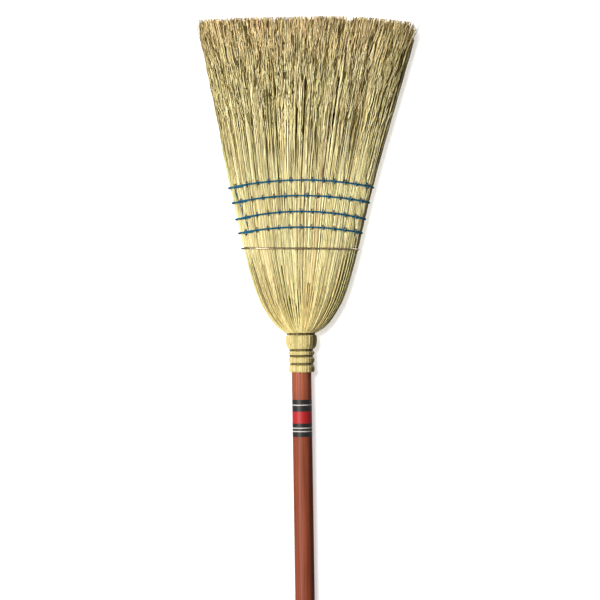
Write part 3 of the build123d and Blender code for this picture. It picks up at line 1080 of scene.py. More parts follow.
@dataclass
class StrawStock:
    """What all the straw shares: the head's form, the seeded scatter, the finish, tones and lie."""

    form: HeadForm
    seed: int = 7
    slot: str = "broom_corn"
    phases: Span = (0.0, 6.3)
    other_tone: Span = (0.0, 0.3)
    brightest: float = 250.0
    dim_gains: Span = (0.36, 0.60)
    dim_warmth: Colour = (0.06, -0.14, -1.05)
    tone_limit: float = 0.97
    left_spread: float = 0.0008
    right_spread: float = 0.0026
    spread_heights: Span = (0.049, 0.055)
    neck_spread: float = 0.3
    pinch_depth: float = 0.0024
    pinch_width: float = 0.0016
    pinch_reach: float = 0.008
    pinch_share: float = 0.65
    top_reach: float = 0.026
    top_share: float = 0.8
    faded_reaches: float = 3.0
    band_depth: float = 0.0006
    band_reach: float = 0.003
    rng: random.Random = field(init=False, repr=False)
    finish: bpy.types.Material = field(init=False, repr=False)

    def __post_init__(self) -> None:
        """Starts the seeded scatter and makes the finish."""
        self.rng = random.Random(self.seed)
        self.finish = StrawFinish().make()

    def add(self, tubes: Tubes, node: str) -> None:
        """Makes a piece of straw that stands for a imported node."""
        Piece.add(tubes.mesh(), self.finish, self.slot, node)

    def wave(self, rates: Span) -> Wave:
        """Picks a wave with a rate in a span."""
        return Wave(self.rng.uniform(*rates), self.rng.uniform(*self.phases))

    def tone(self, weights: tuple[float, ...], gains: Span, gain: float, dim: float = 0.0) -> Colour:
        """Picks a straw's linear colour.

        Args:
            weights: How often each Tone comes up, in the order of the Enum.
            gains: Least and greatest gain on the tone.
            gain: Gain on both of them.
            dim: Share of straws that weather dark.

        Returns:
            The tone, a little lighter or darker than the Enum's.
        """
        picked, other = self.rng.choices(list(Tone), weights, k=2)
        share = self.rng.uniform(*self.other_tone)
        gain = self.rng.uniform(gains[0] * gain, gains[1] * gain)
        mixed = [a + (b - a) * share for a, b in zip(picked.value, other.value)]
        gain = min(gain, self.brightest / max(mixed))
        if self.rng.random() < dim:
            gain *= self.rng.uniform(*self.dim_gains)
        loss = max(1 - gain, 0)
        return linear(tuple(gain * c * (1 + loss * warm) for c, warm in zip(mixed, self.dim_warmth)))

    def shaded(self, shade: float, tone: Colour, *tints: Colour) -> Colour:
        """Returns a tone times a shade and tints, held below white."""
        return tuple(min(shade * math.prod(parts), self.tone_limit) for parts in zip(tone, *tints))

    def lay(self, h: float, turn: float, inset: float) -> Vector:
        """Finds a point for a straw, which stands out at the head's sides.

        Args:
            h: Height above the sleeve's lower end.
            turn: Angle about the handle's axis from +X; negative is the front.
            inset: How deep the straw lies.

        Returns:
            The point in the part's frame.
        """
        across = math.cos(turn)
        spread = self.right_spread if across > 0 else self.left_spread
        above = progress(h, *self.spread_heights)
        spread *= self.neck_spread + (1 - self.neck_spread) * above
        return self.form.outline(h, turn, inset - spread * across**SIDE_POWER)

    def pinch(self, side: Side, x: float, h: float) -> float:
        """Measures how deep the sewing pulls the straw in.

        Args:
            side: Face of the head.
            x: Distance from the head's middle.
            h: Height above the sleeve's lower end.

        Returns:
            The depth, greatest under the stitches and with a long fade above the top row.
        """
        depth = 0.0
        for row in ROWS:
            above = h - row.height(self.form, x)
            reach, share = self.pinch_reach, self.pinch_share
            if row is TOP_ROW and above > 0:
                reach, share = self.top_reach, self.top_share
            if abs(above) > self.faded_reaches * reach:
                continue
            off = row.off_stitch(self.form, side, x) / self.pinch_width
            depth += self.pinch_depth * share * bell(off) * bell(above / reach)
            depth += self.band_depth * bell(above / self.band_reach)
        return depth


@dataclass
class Cover:
    """The outer straw of each face: stalks that the wire binds, and straws fanned between them.

    Sizes and gains that are spans hold the least and the greatest that is picked. The flanks are the sides
    of the flare above the crown, where a few stalks stand proud of the others, and the straws sunk between
    them are darkened as painted shade.
    """

    stock: StrawStock
    weights: tuple[float, ...] = (4.4, 5.2, 1.5, 1.4, 0.04)
    gains: Span = (0.97, 1.13)
    stalk_count: int = 92
    stalk_radius: float = 0.00078
    stalk_sizes: Span = (0.7, 1.2)
    stalk_places: Span = (0.2, 0.8)
    stalk_feet: Span = (-0.0003, 0.0014)
    stalk_ends: Span = (0.25, 0.33)
    stalk_gain: float = 0.97
    fan_count: int = 330
    fan_radius: float = 0.00055
    fan_sizes: Span = (0.7, 1.3)
    fan_starts: Span = (0.085, 0.15)
    fan_ends: Span = (0.255, 0.345)
    fan_depths: tuple[float, ...] = (0.0, 0.0002, 0.0005, 0.001, 0.0015)
    fan_scatter: Span = (-0.006, 0.006)
    fan_shade: float = 0.6
    flare_heights: tuple[float, ...] = (
        0.0535, 0.056, 0.059, 0.063, 0.069, 0.078, 0.09, 0.105, 0.122, 0.14, 0.157, 0.17
    )
    sewn_from: float = 0.178
    sewn_step: float = 0.0045
    sewn_steps: int = 40
    proud_step: int = 3
    proud_slimmer: float = 0.15
    flank_depth: float = 0.0030
    flank_proud: float = 0.0009
    flank_shade: float = 0.30
    flank_rise: float = 0.012
    flank_fade: Span = (0.165, 0.115)
    flank_rate: float = 1.3
    right_flank: float = 0.68
    left_flank: float = 0.5
    left_flank_share: float = 0.5
    # Painted light to the right and painted shade to the left of the cover.
    right_gain: float = 0.03
    right_light_span: Span = (0.2, 1.0)
    left_loss: float = 0.07
    left_shade_span: Span = (0.0, 0.6)
    stray_share: float = 0.15
    stray_sway: float = 0.05
    sway: float = 0.014
    sway_rate: float = 18.0
    free_heights: Span = (0.05, 0.11)
    pinched_from: float = 0.16
    raised: Span = (0.0, 0.8)
    end_sink: float = 0.0035
    end_sink_from: float = 0.8
    taper: float = 0.55
    taper_from: float = 0.55
    end_shade: float = 0.22
    end_shade_from: float = 0.65
    neck_gain: float = 0.92
    crown_tint: Colour = (1.02, 0.97, 0.84)
    crown_tint_heights: Span = (0.15, 0.08)

    def heights(self, end: float) -> list[float]:
        """Lists the heights at which a straw needs points.

        Args:
            end: Height where it ends.

        Returns:
            The heights, rising.
        """
        heights = [h for h, _ in self.stock.form.neck] + list(self.flare_heights)
        heights += [self.sewn_from + self.sewn_step * k for k in range(self.sewn_steps)]
        return [h for h in heights if h < end] + [end]

    def painted_side_gain(self, angle: float) -> float:
        """Finds a straw's painted light and shade across the head: darker to the left, which the key lamp
        lights most, and lighter to the right.

        Args:
            angle: Its place round the head.

        Returns:
            The gain on its tone.
        """
        right = progress(math.cos(angle), *self.right_light_span)
        left = progress(-math.cos(angle), *self.left_shade_span)
        return 1 + self.right_gain * right - self.left_loss * left

    def flank(self, angle: float) -> float:
        """Finds how far round on the flare's flanks a straw is.

        Args:
            angle: Its place round the head.

        Returns:
            0 off the flanks, up to 1 at the right side and up to left_flank_share at the left.
        """
        right = min(self.flank_rate * progress(math.cos(angle), self.right_flank, 1.0), 1.0)
        left = min(self.flank_rate * progress(-math.cos(angle), self.left_flank, 1.0), 1.0)
        return right + self.left_flank_share * left

    def laid(self, straw: Straw, heights: list[float]) -> Strand:
        """Lays one straw along the head.

        Args:
            straw: The straw.
            heights: Heights of its points.

        Returns:
            The straw's strand.
        """
        stock, form = self.stock, self.stock.form
        stray = self.stray_sway if stock.rng.random() < self.stray_share else self.sway
        sway = stock.rng.uniform(-stray, stray)
        wave = Wave(self.sway_rate, stock.rng.uniform(*stock.phases))
        rise = stock.rng.uniform(*self.raised) * straw.radius
        made = Strand()
        start, end = heights[0], heights[-1]
        for h in heights:
            share = (h - start) / (end - start)
            free = progress(h, *self.free_heights)
            turn = straw.side.value * (straw.angle + free * sway * wave.at(h))
            flare = progress(h, form.crown_top, form.crown_top + self.flank_rise)
            flare *= progress(h, *self.flank_fade)
            inset = straw.depth + flare * straw.behind + straw.radius - rise
            if h > self.pinched_from:
                inset += stock.pinch(straw.side, form.across(h, turn), h)
            inset += self.end_sink * progress(share, self.end_sink_from, 1.0)
            radius = straw.radius * (1 - self.taper * progress(share, self.taper_from, 1.0))
            made.add(stock.lay(h, turn, inset), radius, self.tone_at(straw, h, share, flare))
        return made

    def tone_at(self, straw: Straw, h: float, share: float, flare: float) -> Colour:
        """Shades a straw.

        Args:
            straw: The straw.
            h: Height above the sleeve's lower end.
            share: Share of the straw's length below that height.
            flare: How fully the height is on the flare, from 0 to 1.

        Returns:
            The straw's linear colour at that height.
        """
        # Painted shade: straws sunk between the proud stalks on the flanks are darkened.
        shade = 1 - flare * straw.shaded
        if h < self.stock.form.crown_top:
            shade *= self.neck_gain
        shade *= 1 - self.end_shade * progress(share, self.end_shade_from, 1.0)
        low = progress(h, *self.crown_tint_heights)
        tint = tuple(1 + (t - 1) * low for t in self.crown_tint)
        return self.stock.shaded(shade, straw.tone, tint)

    def stalks(self, side: Side) -> Tubes:
        """Lays the bound stalks of one face.

        Args:
            side: Face of the head.

        Returns:
            The stalks.
        """
        stock, rng = self.stock, self.stock.rng
        made = Tubes(side.hurl + "_stalks")
        for k in range(self.stalk_count):
            angle = math.pi * (k + rng.uniform(*self.stalk_places)) / self.stalk_count
            heights = self.heights(rng.uniform(*self.stalk_ends))
            heights[0] = rng.uniform(*self.stalk_feet)
            radius = self.stalk_radius * rng.uniform(*self.stalk_sizes)
            flank = self.flank(angle)
            tone = stock.tone(self.weights, self.gains, self.stalk_gain * self.painted_side_gain(angle))
            behind, shaded = self.flank_depth * flank, self.flank_shade * flank
            if k % self.proud_step == 0:
                behind, shaded = -self.flank_proud * flank, 0.0
                radius *= 1 - self.proud_slimmer * flank
            straw = Straw(side, angle, radius, tone, 0.0, behind, shaded)
            made.strands.append(self.laid(straw, heights))
        return made

    def fan(self, side: Side) -> Tubes:
        """Lays the fanned straws of one face.

        Args:
            side: Face of the head.

        Returns:
            The straws.
        """
        stock, rng = self.stock, self.stock.rng
        made = Tubes(side.hurl + "_cover")
        for even in stock.form.even_angles(TOP_ROW.middle, self.fan_count):
            start = rng.uniform(*self.fan_starts)
            heights = [start] + [h for h in self.heights(rng.uniform(*self.fan_ends)) if h > start]
            radius = self.fan_radius * rng.uniform(*self.fan_sizes)
            depth = rng.choice(self.fan_depths)
            angle = even + rng.uniform(*self.fan_scatter)
            flank = self.flank(angle)
            tone = stock.tone(self.weights, self.gains, self.painted_side_gain(angle))
            behind, shaded = self.flank_depth * flank, self.fan_shade * self.flank_shade * flank
            straw = Straw(side, angle, radius, tone, depth, behind, shaded)
            made.strands.append(self.laid(straw, heights))
        return made

    def build(self, side: Side) -> None:
        """Builds the cover of one face."""
        self.stock.add(self.stalks(side), side.hurl)
        self.stock.add(self.fan(side), side.hurl)


@dataclass
class BristleStock:
    """What all the bristles share: the gaps between them, their locks, crinkle, trim and tones.

    Sizes, rates and gains that are spans hold the least and the greatest that is picked. A share of a
    bristle is counted along its run from root to tip.
    """

    stock: StrawStock
    weights: tuple[float, ...] = (4.4, 4.2, 1.2, 2.4, 0.5)
    gains: Span = (0.93, 1.07)
    dim_share: float = 0.23
    radius: float = 0.00056
    tip_radius: float = 0.00048
    sizes: Span = (0.75, 1.2)
    slit_count: int = 110
    slit_reach: float = 0.95
    slit_lows: Span = (0.250, 0.425)
    slit_lengths: Span = (0.055, 0.160)
    slit_widths: Span = (0.0004, 0.0009)
    dim_locks: float = 0.18
    dim_lock_gains: Span = (0.44, 0.66)
    lock_gains: Span = (0.9, 1.0)
    lock_rates: tuple[Span, ...] = ((110.0, 200.0), (230.0, 400.0), (90.0, 260.0))
    lock_sizes: Span = (0.5, 1.4)
    crinkle: float = 0.00058
    second_wave: float = 0.5
    depth_wave: float = 0.25
    crinkle_power: float = 0.65
    own_crinkle: float = 0.00040
    own_rates: Span = (260.0, 420.0)
    sunk_by: float = 0.25
    blotch: float = 0.46
    blotch_rates: Span = (160.0, 420.0)
    blotch_power: int = 3
    blotch_shares: Span = (0.6, 0.9)
    middle_gain: float = 0.03
    tan_from: float = 0.7
    tan_tint: Colour = (0.04, -0.09, -0.12)
    # Painted light: the very tips of the bristles are lit paler.
    painted_tip_light: Colour = (0.12, 0.09, 0.06)
    tip_power: int = 4
    # Painted shade towards the head's right and left sides.
    right_dark: float = 0.16
    right_dark_from: float = 0.7
    left_dark: float = 0.13
    left_dark_from: float = 0.5
    # Middle and width of each parting, as shares of the sweep's half width.
    partings: tuple[Span, ...] = ((0.012, 0.022), (0.345, 0.030), (-0.30, 0.014), (0.62, 0.018))
    parting_push: float = 0.8
    long_share: float = 0.16
    long_most: float = 0.0022
    long_power: float = 2.0
    short_least: float = 0.0014
    short_scatter: float = 0.0085
    short_power: float = 2.2
    slits: dict[Side, list[Slit]] = field(init=False, repr=False)

    def __post_init__(self) -> None:
        """Picks the gaps between the bristles of both faces."""
        self.slits = {side: [self.slit(k) for k in range(self.slit_count)] for side in Side}

    def slit(self, k: int) -> Slit:
        """Picks a gap between the bristles.

        Args:
            k: Its number, counted from the left.

        Returns:
            The gap.
        """
        rng = self.stock.rng
        low = rng.uniform(*self.slit_lows)
        return Slit(
            place=2 * self.slit_reach * ((k + rng.random()) / self.slit_count - 0.5),
            low=low,
            high=low + rng.uniform(*self.slit_lengths),
            width=rng.uniform(*self.slit_widths),
        )

    def lock(self, gain: float, sunk: float) -> Lock:
        """Picks how a lock of bristles lies.

        Args:
            gain: Greatest gain on the tone of its bristles.
            sunk: Greatest depth below its neighbours.

        Returns:
            The lock.
        """
        rng = self.stock.rng
        dim = rng.random() < self.dim_locks
        shade = rng.uniform(*(self.dim_lock_gains if dim else self.lock_gains))
        rates = [rng.uniform(*span) for span in self.lock_rates]
        size = self.crinkle * rng.uniform(*self.lock_sizes)
        depth = sunk if dim else sunk * rng.random()
        waves = tuple(Wave(rate, rng.uniform(*self.stock.phases)) for rate in rates)
        return Lock(gain * shade, size, depth, waves)

    def painted_edge_shade(self, angle: float) -> float:
        """Finds the painted shade that darkens a bristle towards the head's sides.

        Args:
            angle: Its place round the head.

        Returns:
            The gain on its tone.
        """
        right = progress(math.cos(angle), self.right_dark_from, 1.0)
        left = progress(-math.cos(angle), self.left_dark_from, 1.0)
        return 1 - self.right_dark * right - self.left_dark * left

    def parted(self, x: float) -> float:
        """Finds how far a tip moves aside where the bristles have parted.

        Args:
            x: Distance from the sweep's middle.

        Returns:
            The distance, negative to the left.
        """
        wide = self.stock.form.half_width(self.stock.form.length)
        for middle, width in self.partings:
            off = x / wide - middle
            if abs(off) < width:
                return math.copysign(self.parting_push * (width - abs(off)), off) * wide
        return 0.0

    def trimmed(self, x: float) -> float:
        """Picks the height where a bristle ends.

        Args:
            x: Distance from the sweep's middle.

        Returns:
            The height: for most bristles just short of the trim, for a few past it.
        """
        rng, trim = self.stock.rng, self.stock.form.trim(x)
        if rng.random() < self.long_share:
            return trim + self.long_most * rng.random() ** self.long_power
        return trim - self.short_least - self.short_scatter * rng.random() ** self.short_power

    def drawn(self, bristle: Bristle) -> Strand:
        """Draws one crinkled bristle.

        Args:
            bristle: The bristle.

        Returns:
            The bristle's strand.
        """
        stock, sleeve_z = self.stock, self.stock.form.sleeve_z
        low, high = bristle.root.z - sleeve_z, bristle.tip.z - sleeve_z
        own, blotches = stock.wave(self.own_rates), stock.wave(self.blotch_rates)
        size = stock.rng.uniform(*self.sizes)
        gain = bristle.gain * bristle.lock.gain
        tone = stock.tone(self.weights, self.gains, gain, self.dim_share)
        made = Strand()
        for k in range(bristle.points):
            h = bristle.start + (bristle.end - bristle.start) * k / (bristle.points - 1)
            share = (h - low) / (high - low)
            radius = size * (self.radius + (self.tip_radius - self.radius) * share)
            shade, tint = self.weathering_and_tip_light(share, max(blotches.at(h), 0) ** self.blotch_power)
            shown = stock.shaded(shade, tone, tint, bristle.painted_shade_tint)
            made.add(self.place(bristle, own, h, share), radius, shown)
        return made

    def place(self, bristle: Bristle, own: Wave, h: float, share: float) -> Vector:
        """Finds a point of a bristle, crinkled with its lock and clear of the gaps.

        Args:
            bristle: The bristle.
            own: The bristle's own crinkle.
            h: Height above the sleeve's lower end.
            share: Share of the bristle's run below that height.

        Returns:
            The point in the part's frame.
        """
        form, lock, inward = self.stock.form, bristle.lock, bristle.inward
        grown = progress(share, *WHOLE) ** self.crinkle_power
        first, second, third = (wave.at(h) for wave in lock.waves)
        aside = lock.size * (first + self.second_wave * second) + self.own_crinkle * own.at(h)
        sunk = grown * self.depth_wave * lock.size * third
        sunk += progress(share, 0.0, self.sunk_by) * lock.sunk
        place = bristle.root + (bristle.tip - bristle.root) * share
        place += Vector((-inward.y, inward.x, 0)) * (grown * aside) + inward * sunk
        for slit in bristle.slits:
            wide = slit.opening(h)
            off = place.x - form.set_of_straw(h) - slit.place * form.half_width(h)
            if abs(off) < 2 * wide:
                place.x += math.copysign(wide - abs(off) / 2, off)
        return place

    def weathering_and_tip_light(self, share: float, spot: float) -> tuple[float, Colour]:
        """Finds how a bristle's tone runs along it: blotched, a little lighter along its middle, tanned
        towards its tip, and paler at the very tip as painted light.

        Args:
            share: Share of the bristle's run.
            spot: How fully the place is on a blotch, from 0 to 1.

        Returns:
            The shade and the tint of its tone.
        """
        tan = progress(share, self.tan_from, 1.0, math.inf)
        # Painted light grows at the very tip.
        tip = tan**self.tip_power
        shade = 1 - self.blotch * spot * progress(share, *self.blotch_shares)
        shade *= 1 + self.middle_gain * math.sin(math.pi * progress(share, *WHOLE))
        return shade, tuple(1 + a * tan + b * tip for a, b in zip(self.tan_tint, self.painted_tip_light))


@dataclass(frozen=True)
class Layer:
    """A layer of bristles near each face: its depths below the surface, and a painted shade tint for a
    layer that lies deep.
    """

    suffix: str
    count: int
    depths: Span
    points: int
    painted_shade_tint: Colour = WHITE


@dataclass
class FaceBristles:
    """The bristles near each face, in locks, gathered in tufts above the stitches."""

    bristles: BristleStock
    layers: tuple[Layer, ...] = (
        Layer("_bristles", 840, (0.0, 0.0050), 30),
        # The under layer's painted shade tint browns it.
        Layer("_under_bristles", 760, (0.0050, 0.0130), 15, (0.98, 0.86, 0.46)),
    )
    # Painted shade: a layer's tone falls from surface_gain by depth_loss at the deepest layer.
    surface_gain: float = 1.12
    depth_loss: float = 0.50
    deepest: float = 0.0130
    locks: int = 270
    lock_depth: float = 0.0012
    depth_power: float = 1.5
    tufts: int = 46
    tuft_scatter: Span = (-0.3, 0.3)
    tuft_depth: float = 0.0010
    tuft_half: float = 0.5
    tuft_edge_most: float = 1.2
    tuft_edge_power: int = 3
    gather: float = 0.12
    tip_scatter: Span = (-0.01, 0.01)
    tip_depth_share: float = 0.9
    tip_inset: float = 0.0006
    side_inset: float = 0.25
    root_inset: float = 0.0010
    root_drops: Span = (-0.004, 0.03)
    pinch_above: float = 0.004
    slit_near: float = 0.05

    def layer(self, layer: Layer, side: Side) -> Tubes:
        """Draws a layer of bristles near one face.

        Args:
            layer: The layer.
            side: Face of the head.

        Returns:
            The bristles.
        """
        bristles, rng = self.bristles, self.bristles.stock.rng
        middles = [k + rng.uniform(*self.tuft_scatter) for k in range(self.tufts + 1)]
        dips = [rng.uniform(0, self.tuft_depth) for _ in middles]
        # Painted shade: a deeper layer's tone is darker.
        gain = self.surface_gain - self.depth_loss * layer.depths[0] / self.deepest
        locks = [bristles.lock(gain, self.lock_depth) for _ in range(self.locks)]
        made = Tubes(side.hurl + layer.suffix)
        for k, angle in enumerate(bristles.stock.form.even_angles(TOP_ROW.middle, layer.count)):
            along = k / layer.count * self.tufts
            offs = [(along - middle, dip) for middle, dip in zip(middles, dips)]
            off, dip = min(offs, key=lambda pair: abs(pair[0]))
            lock = locks[k * self.locks // layer.count]
            made.strands.append(bristles.drawn(self.bristle(layer, side, angle, off, dip, lock)))
        return made

    def bristle(
        self, layer: Layer, side: Side, angle: float, off: float, dip: float, lock: Lock
    ) -> Bristle:
        """Picks how a bristle runs.

        Args:
            layer: Its layer.
            side: Face of the head.
            angle: Its place round the head.
            off: How far it is from the middle of its tuft, in tufts.
            dip: How deep its tuft lies.
            lock: The lock that it lies in.

        Returns:
            The bristle.
        """
        bristles, stock, form = self.bristles, self.bristles.stock, self.bristles.stock.form
        base, turn = TOP_ROW.middle, side.value * angle
        gathered = angle - self.gather * off * math.pi / self.tufts + stock.rng.uniform(*self.tip_scatter)
        least, greatest = layer.depths
        deep = least + (greatest - least) * stock.rng.random() ** self.depth_power
        edge = progress(abs(off), 0.0, self.tuft_half, self.tuft_edge_most) ** self.tuft_edge_power
        x = form.across(base, turn)
        pinch = stock.pinch(side, x, base + self.pinch_above)
        root = stock.lay(base, turn, deep + self.root_inset + pinch)
        inset = self.tip_depth_share * deep + self.tip_inset + dip + self.tuft_depth * edge
        inset *= min(self.side_inset + math.sin(angle), 1)
        tip = stock.lay(form.length, side.value * gathered, inset)
        tip.x += bristles.parted(tip.x - form.sweep_set)
        tip_x = tip.x - form.sweep_set
        middle = 0.5 * (x / form.half_width(base) + tip_x / form.half_width(form.length))
        return Bristle(
            root=root,
            tip=tip,
            start=base - stock.rng.uniform(*self.root_drops),
            end=bristles.trimmed(tip_x),
            inward=form.inward(base, turn),
            points=layer.points,
            lock=lock,
            slits=tuple(s for s in bristles.slits[side] if abs(s.place - middle) < self.slit_near),
            gain=bristles.painted_edge_shade(angle),
            painted_shade_tint=layer.painted_shade_tint,
        )

    def build(self, side: Side) -> None:
        """Builds the layers of one face."""
        for layer in self.layers:
            self.bristles.stock.add(self.layer(layer, side), side.hurl)


@dataclass
class Sprigs:
    """The fine side shoots that fringe the bristles of each face, thickest at the tips."""

    bristles: BristleStock
    count: int = 2700
    weights: tuple[float, ...] = (5.0, 4.0, 1.0, 2.6, 0.4)
    gains: Span = (0.98, 1.22)
    dim_share: float = 0.29
    tan_from: float = 0.36
    tan_tint: Colour = (0.0, -0.10, -0.14)
    places: int = 400
    bare_places: int = 14
    lowest: float = 0.285
    top_room: float = 0.012
    rise_power: float = 0.45
    lengths: Span = (0.012, 0.036)
    past_trim: float = 0.001
    lean: float = 0.07
    bow: float = 0.05
    lifts: Span = (-0.0018, 0.0010)
    root_sink: float = 0.0016
    points: int = 5
    radius: float = 0.00038
    root_size: float = 1.15
    taper: float = 0.45
    angles: list[float] = field(init=False, repr=False)

    def __post_init__(self) -> None:
        """Lists the places round a face where shoots may stand, all but the outermost."""
        places = self.bristles.stock.form.even_angles(TOP_ROW.middle, self.places)
        self.angles = places[self.bare_places : -self.bare_places]

    def in_slit(self, side: Side, x: float, low: float, middle: float) -> bool:
        """Tells whether a shoot would stand in a gap between the bristles.

        Args:
            side: Face of the head.
            x: Distance of its root from the head's middle.
            low: Height of its root.
            middle: Height of its middle.

        Returns:
            True where it would.
        """
        wide = self.bristles.stock.form.half_width(low)
        return any(abs(x - s.place * wide) < s.opening(middle) for s in self.bristles.slits[side])

    def shoot(self, turn: float, low: float, end: float, tone: Colour, bend: Triple) -> Strand:
        """Draws one side shoot.

        Args:
            turn: Angle about the handle's axis from +X; negative is the front.
            low: Height of its root.
            end: Height of its tip.
            tone: Its linear colour.
            bend: Its lean, its bow and its lift off the bristles.

        Returns:
            The shoot's strand.
        """
        lean, bow, lift = bend
        made = Strand()
        for k in range(self.points):
            share = k / (self.points - 1)
            sink = self.root_sink * (1 - share)
            place = self.bristles.stock.lay(low + (end - low) * share, turn, sink - lift)
            place.x += (end - low) * (lean * share + bow * (share - share * share) * 4)
            made.add(place, self.radius * (self.root_size - self.taper * share), tone)
        return made

    def build(self, side: Side) -> None:
        """Builds the side shoots of one face.

        Args:
            side: Face of the head.
        """
        stock, form, rng = self.bristles.stock, self.bristles.stock.form, self.bristles.stock.rng
        made = Tubes(side.hurl + "_sprigs")
        for _ in range(self.count):
            angle = rng.choice(self.angles)
            turn = side.value * angle
            rise = rng.random() ** self.rise_power
            low = self.lowest + (form.length - self.lowest - self.top_room) * rise
            length = rng.uniform(*self.lengths)
            bend = (rng.gauss(0, self.lean), rng.gauss(0, self.bow), rng.uniform(*self.lifts))
            gain = self.bristles.painted_edge_shade(angle)
            tone = stock.tone(self.weights, self.gains, gain, self.dim_share)
            tan = progress(low, self.tan_from, form.length)
            tone = tuple(c * (1 + t * tan) for c, t in zip(tone, self.tan_tint))
            x = form.across(low, turn)
            if self.in_slit(side, x, low, low + length / 2):
                continue
            end = min(low + length, form.trim(x) + self.past_trim)
            made.strands.append(self.shoot(turn, low, end, tone, bend))
        stock.add(made, side.hurl)


@dataclass
class Bed:
    """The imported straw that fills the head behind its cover."""

    stock: StrawStock
    name: str = "straw_bed"
    node: str = "inside_corn"
    sides: int = 64
    top: float = 0.430
    bristled_from: float = 0.330
    flare_heights: tuple[float, ...] = (0.056, 0.062, 0.07, 0.08, 0.094, 0.11, 0.13)
    sewn_steps: int = 14
    neck_depth: float = 0.0009
    # Heights between which the bed sinks, and how much deeper it is after that.
    sinks: tuple[Triple, ...] = (
        (0.05, 0.07, 0.0021),
        (0.16, 0.18, -0.0010),
        (0.24, 0.32, 0.0108),
        (0.32, 0.43, 0.0060),
    )

    def depth(self, h: float) -> float:
        """Returns how deep inside the head the bed lies at a height, deeper where bristles cover it."""
        return self.neck_depth + sum(more * progress(h, start, end) for start, end, more in self.sinks)

    def heights(self) -> list[float]:
        """Lists the heights of the bed's rings.

        Returns:
            The heights, rising.
        """
        form, rise = self.stock.form, self.top - self.stock.form.square_from
        sewn = [form.square_from + rise * k / self.sewn_steps for k in range(self.sewn_steps + 1)]
        return [h for h, _ in form.neck] + list(self.flare_heights) + sewn

    def set_ring(self, ring: list[bmesh.types.BMVert], turn: bmesh.types.BMLayerItem, h: float) -> None:
        """Moves a ring of the bed to its height.

        Args:
            ring: The ring's vertices.
            turn: Layer that holds each vertex's angle.
            h: Height above the sleeve's lower end.
        """
        for vert in ring:
            vert.co = self.stock.form.outline(h, vert[turn], self.depth(h))

    def build(self) -> None:
        """Builds the bed from rings, one extruded from another."""
        foot, *heights = self.heights()
        mesh = bmesh.new()
        turn = mesh.verts.layers.float.new("turn")
        ring = bmesh.ops.create_circle(mesh, cap_ends=True, segments=self.sides, radius=1.0)["verts"]
        for vert in ring:
            vert[turn] = math.atan2(vert.co.y, vert.co.x)
        edges = [e for e in mesh.edges if e.is_boundary]
        self.set_ring(ring, turn, foot)
        for h in heights:
            grown = bmesh.ops.extrude_edge_only(mesh, edges=edges)["geom"]
            ring = [g for g in grown if isinstance(g, bmesh.types.BMVert)]
            edges = [g for g in grown if isinstance(g, bmesh.types.BMEdge) and g.is_boundary]
            self.set_ring(ring, turn, h)
        bmesh.ops.contextual_create(mesh, geom=edges)
        bmesh.ops.recalc_face_normals(mesh, faces=mesh.faces)
        made = bpy.data.meshes.new(self.name)
        mesh.to_mesh(made)
        mesh.free()
        made.shade_smooth()
        sleeve_z = self.stock.form.sleeve_z
        finish = BedFinish().make(sleeve_z + TOP_ROW.middle, sleeve_z + self.bristled_from)
        Piece.add(made, finish, self.stock.slot, self.node)


@dataclass
class InnerBristles:
    """The bristles behind the outer ones, which show at the sweep edge."""

    bristles: BristleStock
    bed: Bed
    pitch: float = 0.0026
    scatter: Span = (-0.45, 0.45)
    outermost: float = 0.965
    thinned_from: float = 0.8
    thinned_share: float = 0.5
    shoulder_from: float = 0.34
    parted_share: float = 0.3
    # Painted shade: the inner bristles are a little darker and browner than the outer ones.
    gain: float = 0.95
    tint: Colour = (1.02, 0.97, 0.84)
    points: int = 8

    def bundle(self, u: float) -> str:
        """Finds the bundle that a bristle belongs to.

        Args:
            u: Share of the half width, negative to the left.

        Returns:
            The bundle's name.
        """
        if abs(u) <= self.shoulder_from:
            return "inside"
        return "left_shoulder" if u < 0 else "right_shoulder"

    def bristle(self, u: float, v: float) -> Bristle:
        """Picks how a bristle runs.

        Args:
            u: Share of the half width, negative to the left.
            v: Share of the half thickness, negative to the front.

        Returns:
            The bristle.
        """
        form, low = self.bristles.stock.form, self.bed.bristled_from
        x = u * form.half_width(form.length)
        tip = form.inside(form.length, u, v)
        tip.x += self.parted_share * self.bristles.parted(x)
        return Bristle(
            root=form.inside(low, u, v, self.bed.depth(low)),
            tip=tip,
            start=low,
            end=self.bristles.trimmed(x),
            inward=Vector((0, 1, 0)),
            points=self.points,
            lock=self.bristles.lock(self.gain, 0.0),
            painted_shade_tint=self.tint,
        )

    def build(self) -> None:
        """Builds the bristles of the inside and shoulder bundles."""
        stock, form, rng = self.bristles.stock, self.bristles.stock.form, self.bristles.stock.rng
        names = ("left_shoulder", "inside", "right_shoulder")
        bundles = {name: Tubes(name + "_bristles") for name in names}
        wide, thick = form.half_width(form.length), form.half_thickness(form.length)
        columns, rows = int(wide / self.pitch), int(thick / self.pitch)
        for i in range(-columns, columns + 1):
            for j in range(-rows, rows + 1):
                u = (i + rng.uniform(*self.scatter)) * self.pitch / wide
                v = (j + rng.uniform(*self.scatter)) * self.pitch / thick
                out = (abs(u) ** form.sewn_power + abs(v) ** form.sewn_power) ** (1 / form.sewn_power)
                if out > self.outermost:
                    continue
                if out > self.thinned_from and rng.random() < self.thinned_share:
                    continue
                strand = self.bristles.drawn(self.bristle(u, v))
                bundles[self.bundle(u)].strands.append(strand)
        for name, tubes in bundles.items():
            stock.add(tubes, name + "_corn")


@dataclass
class StrawHead:
    """The straw: packed bed, bound and fanned cover, bristles, side shoots and inner bristles."""

    form: HeadForm

    def build(self) -> None:
        """Builds all the straw."""
        stock = StrawStock(self.form)
        bristles = BristleStock(stock)
        bed = Bed(stock)
        bed.build()
        layers = (Cover(stock), FaceBristles(bristles), Sprigs(bristles))
        for side in Side:
            for layer in layers:
                layer.build(side)
        InnerBristles(bristles, bed).build()


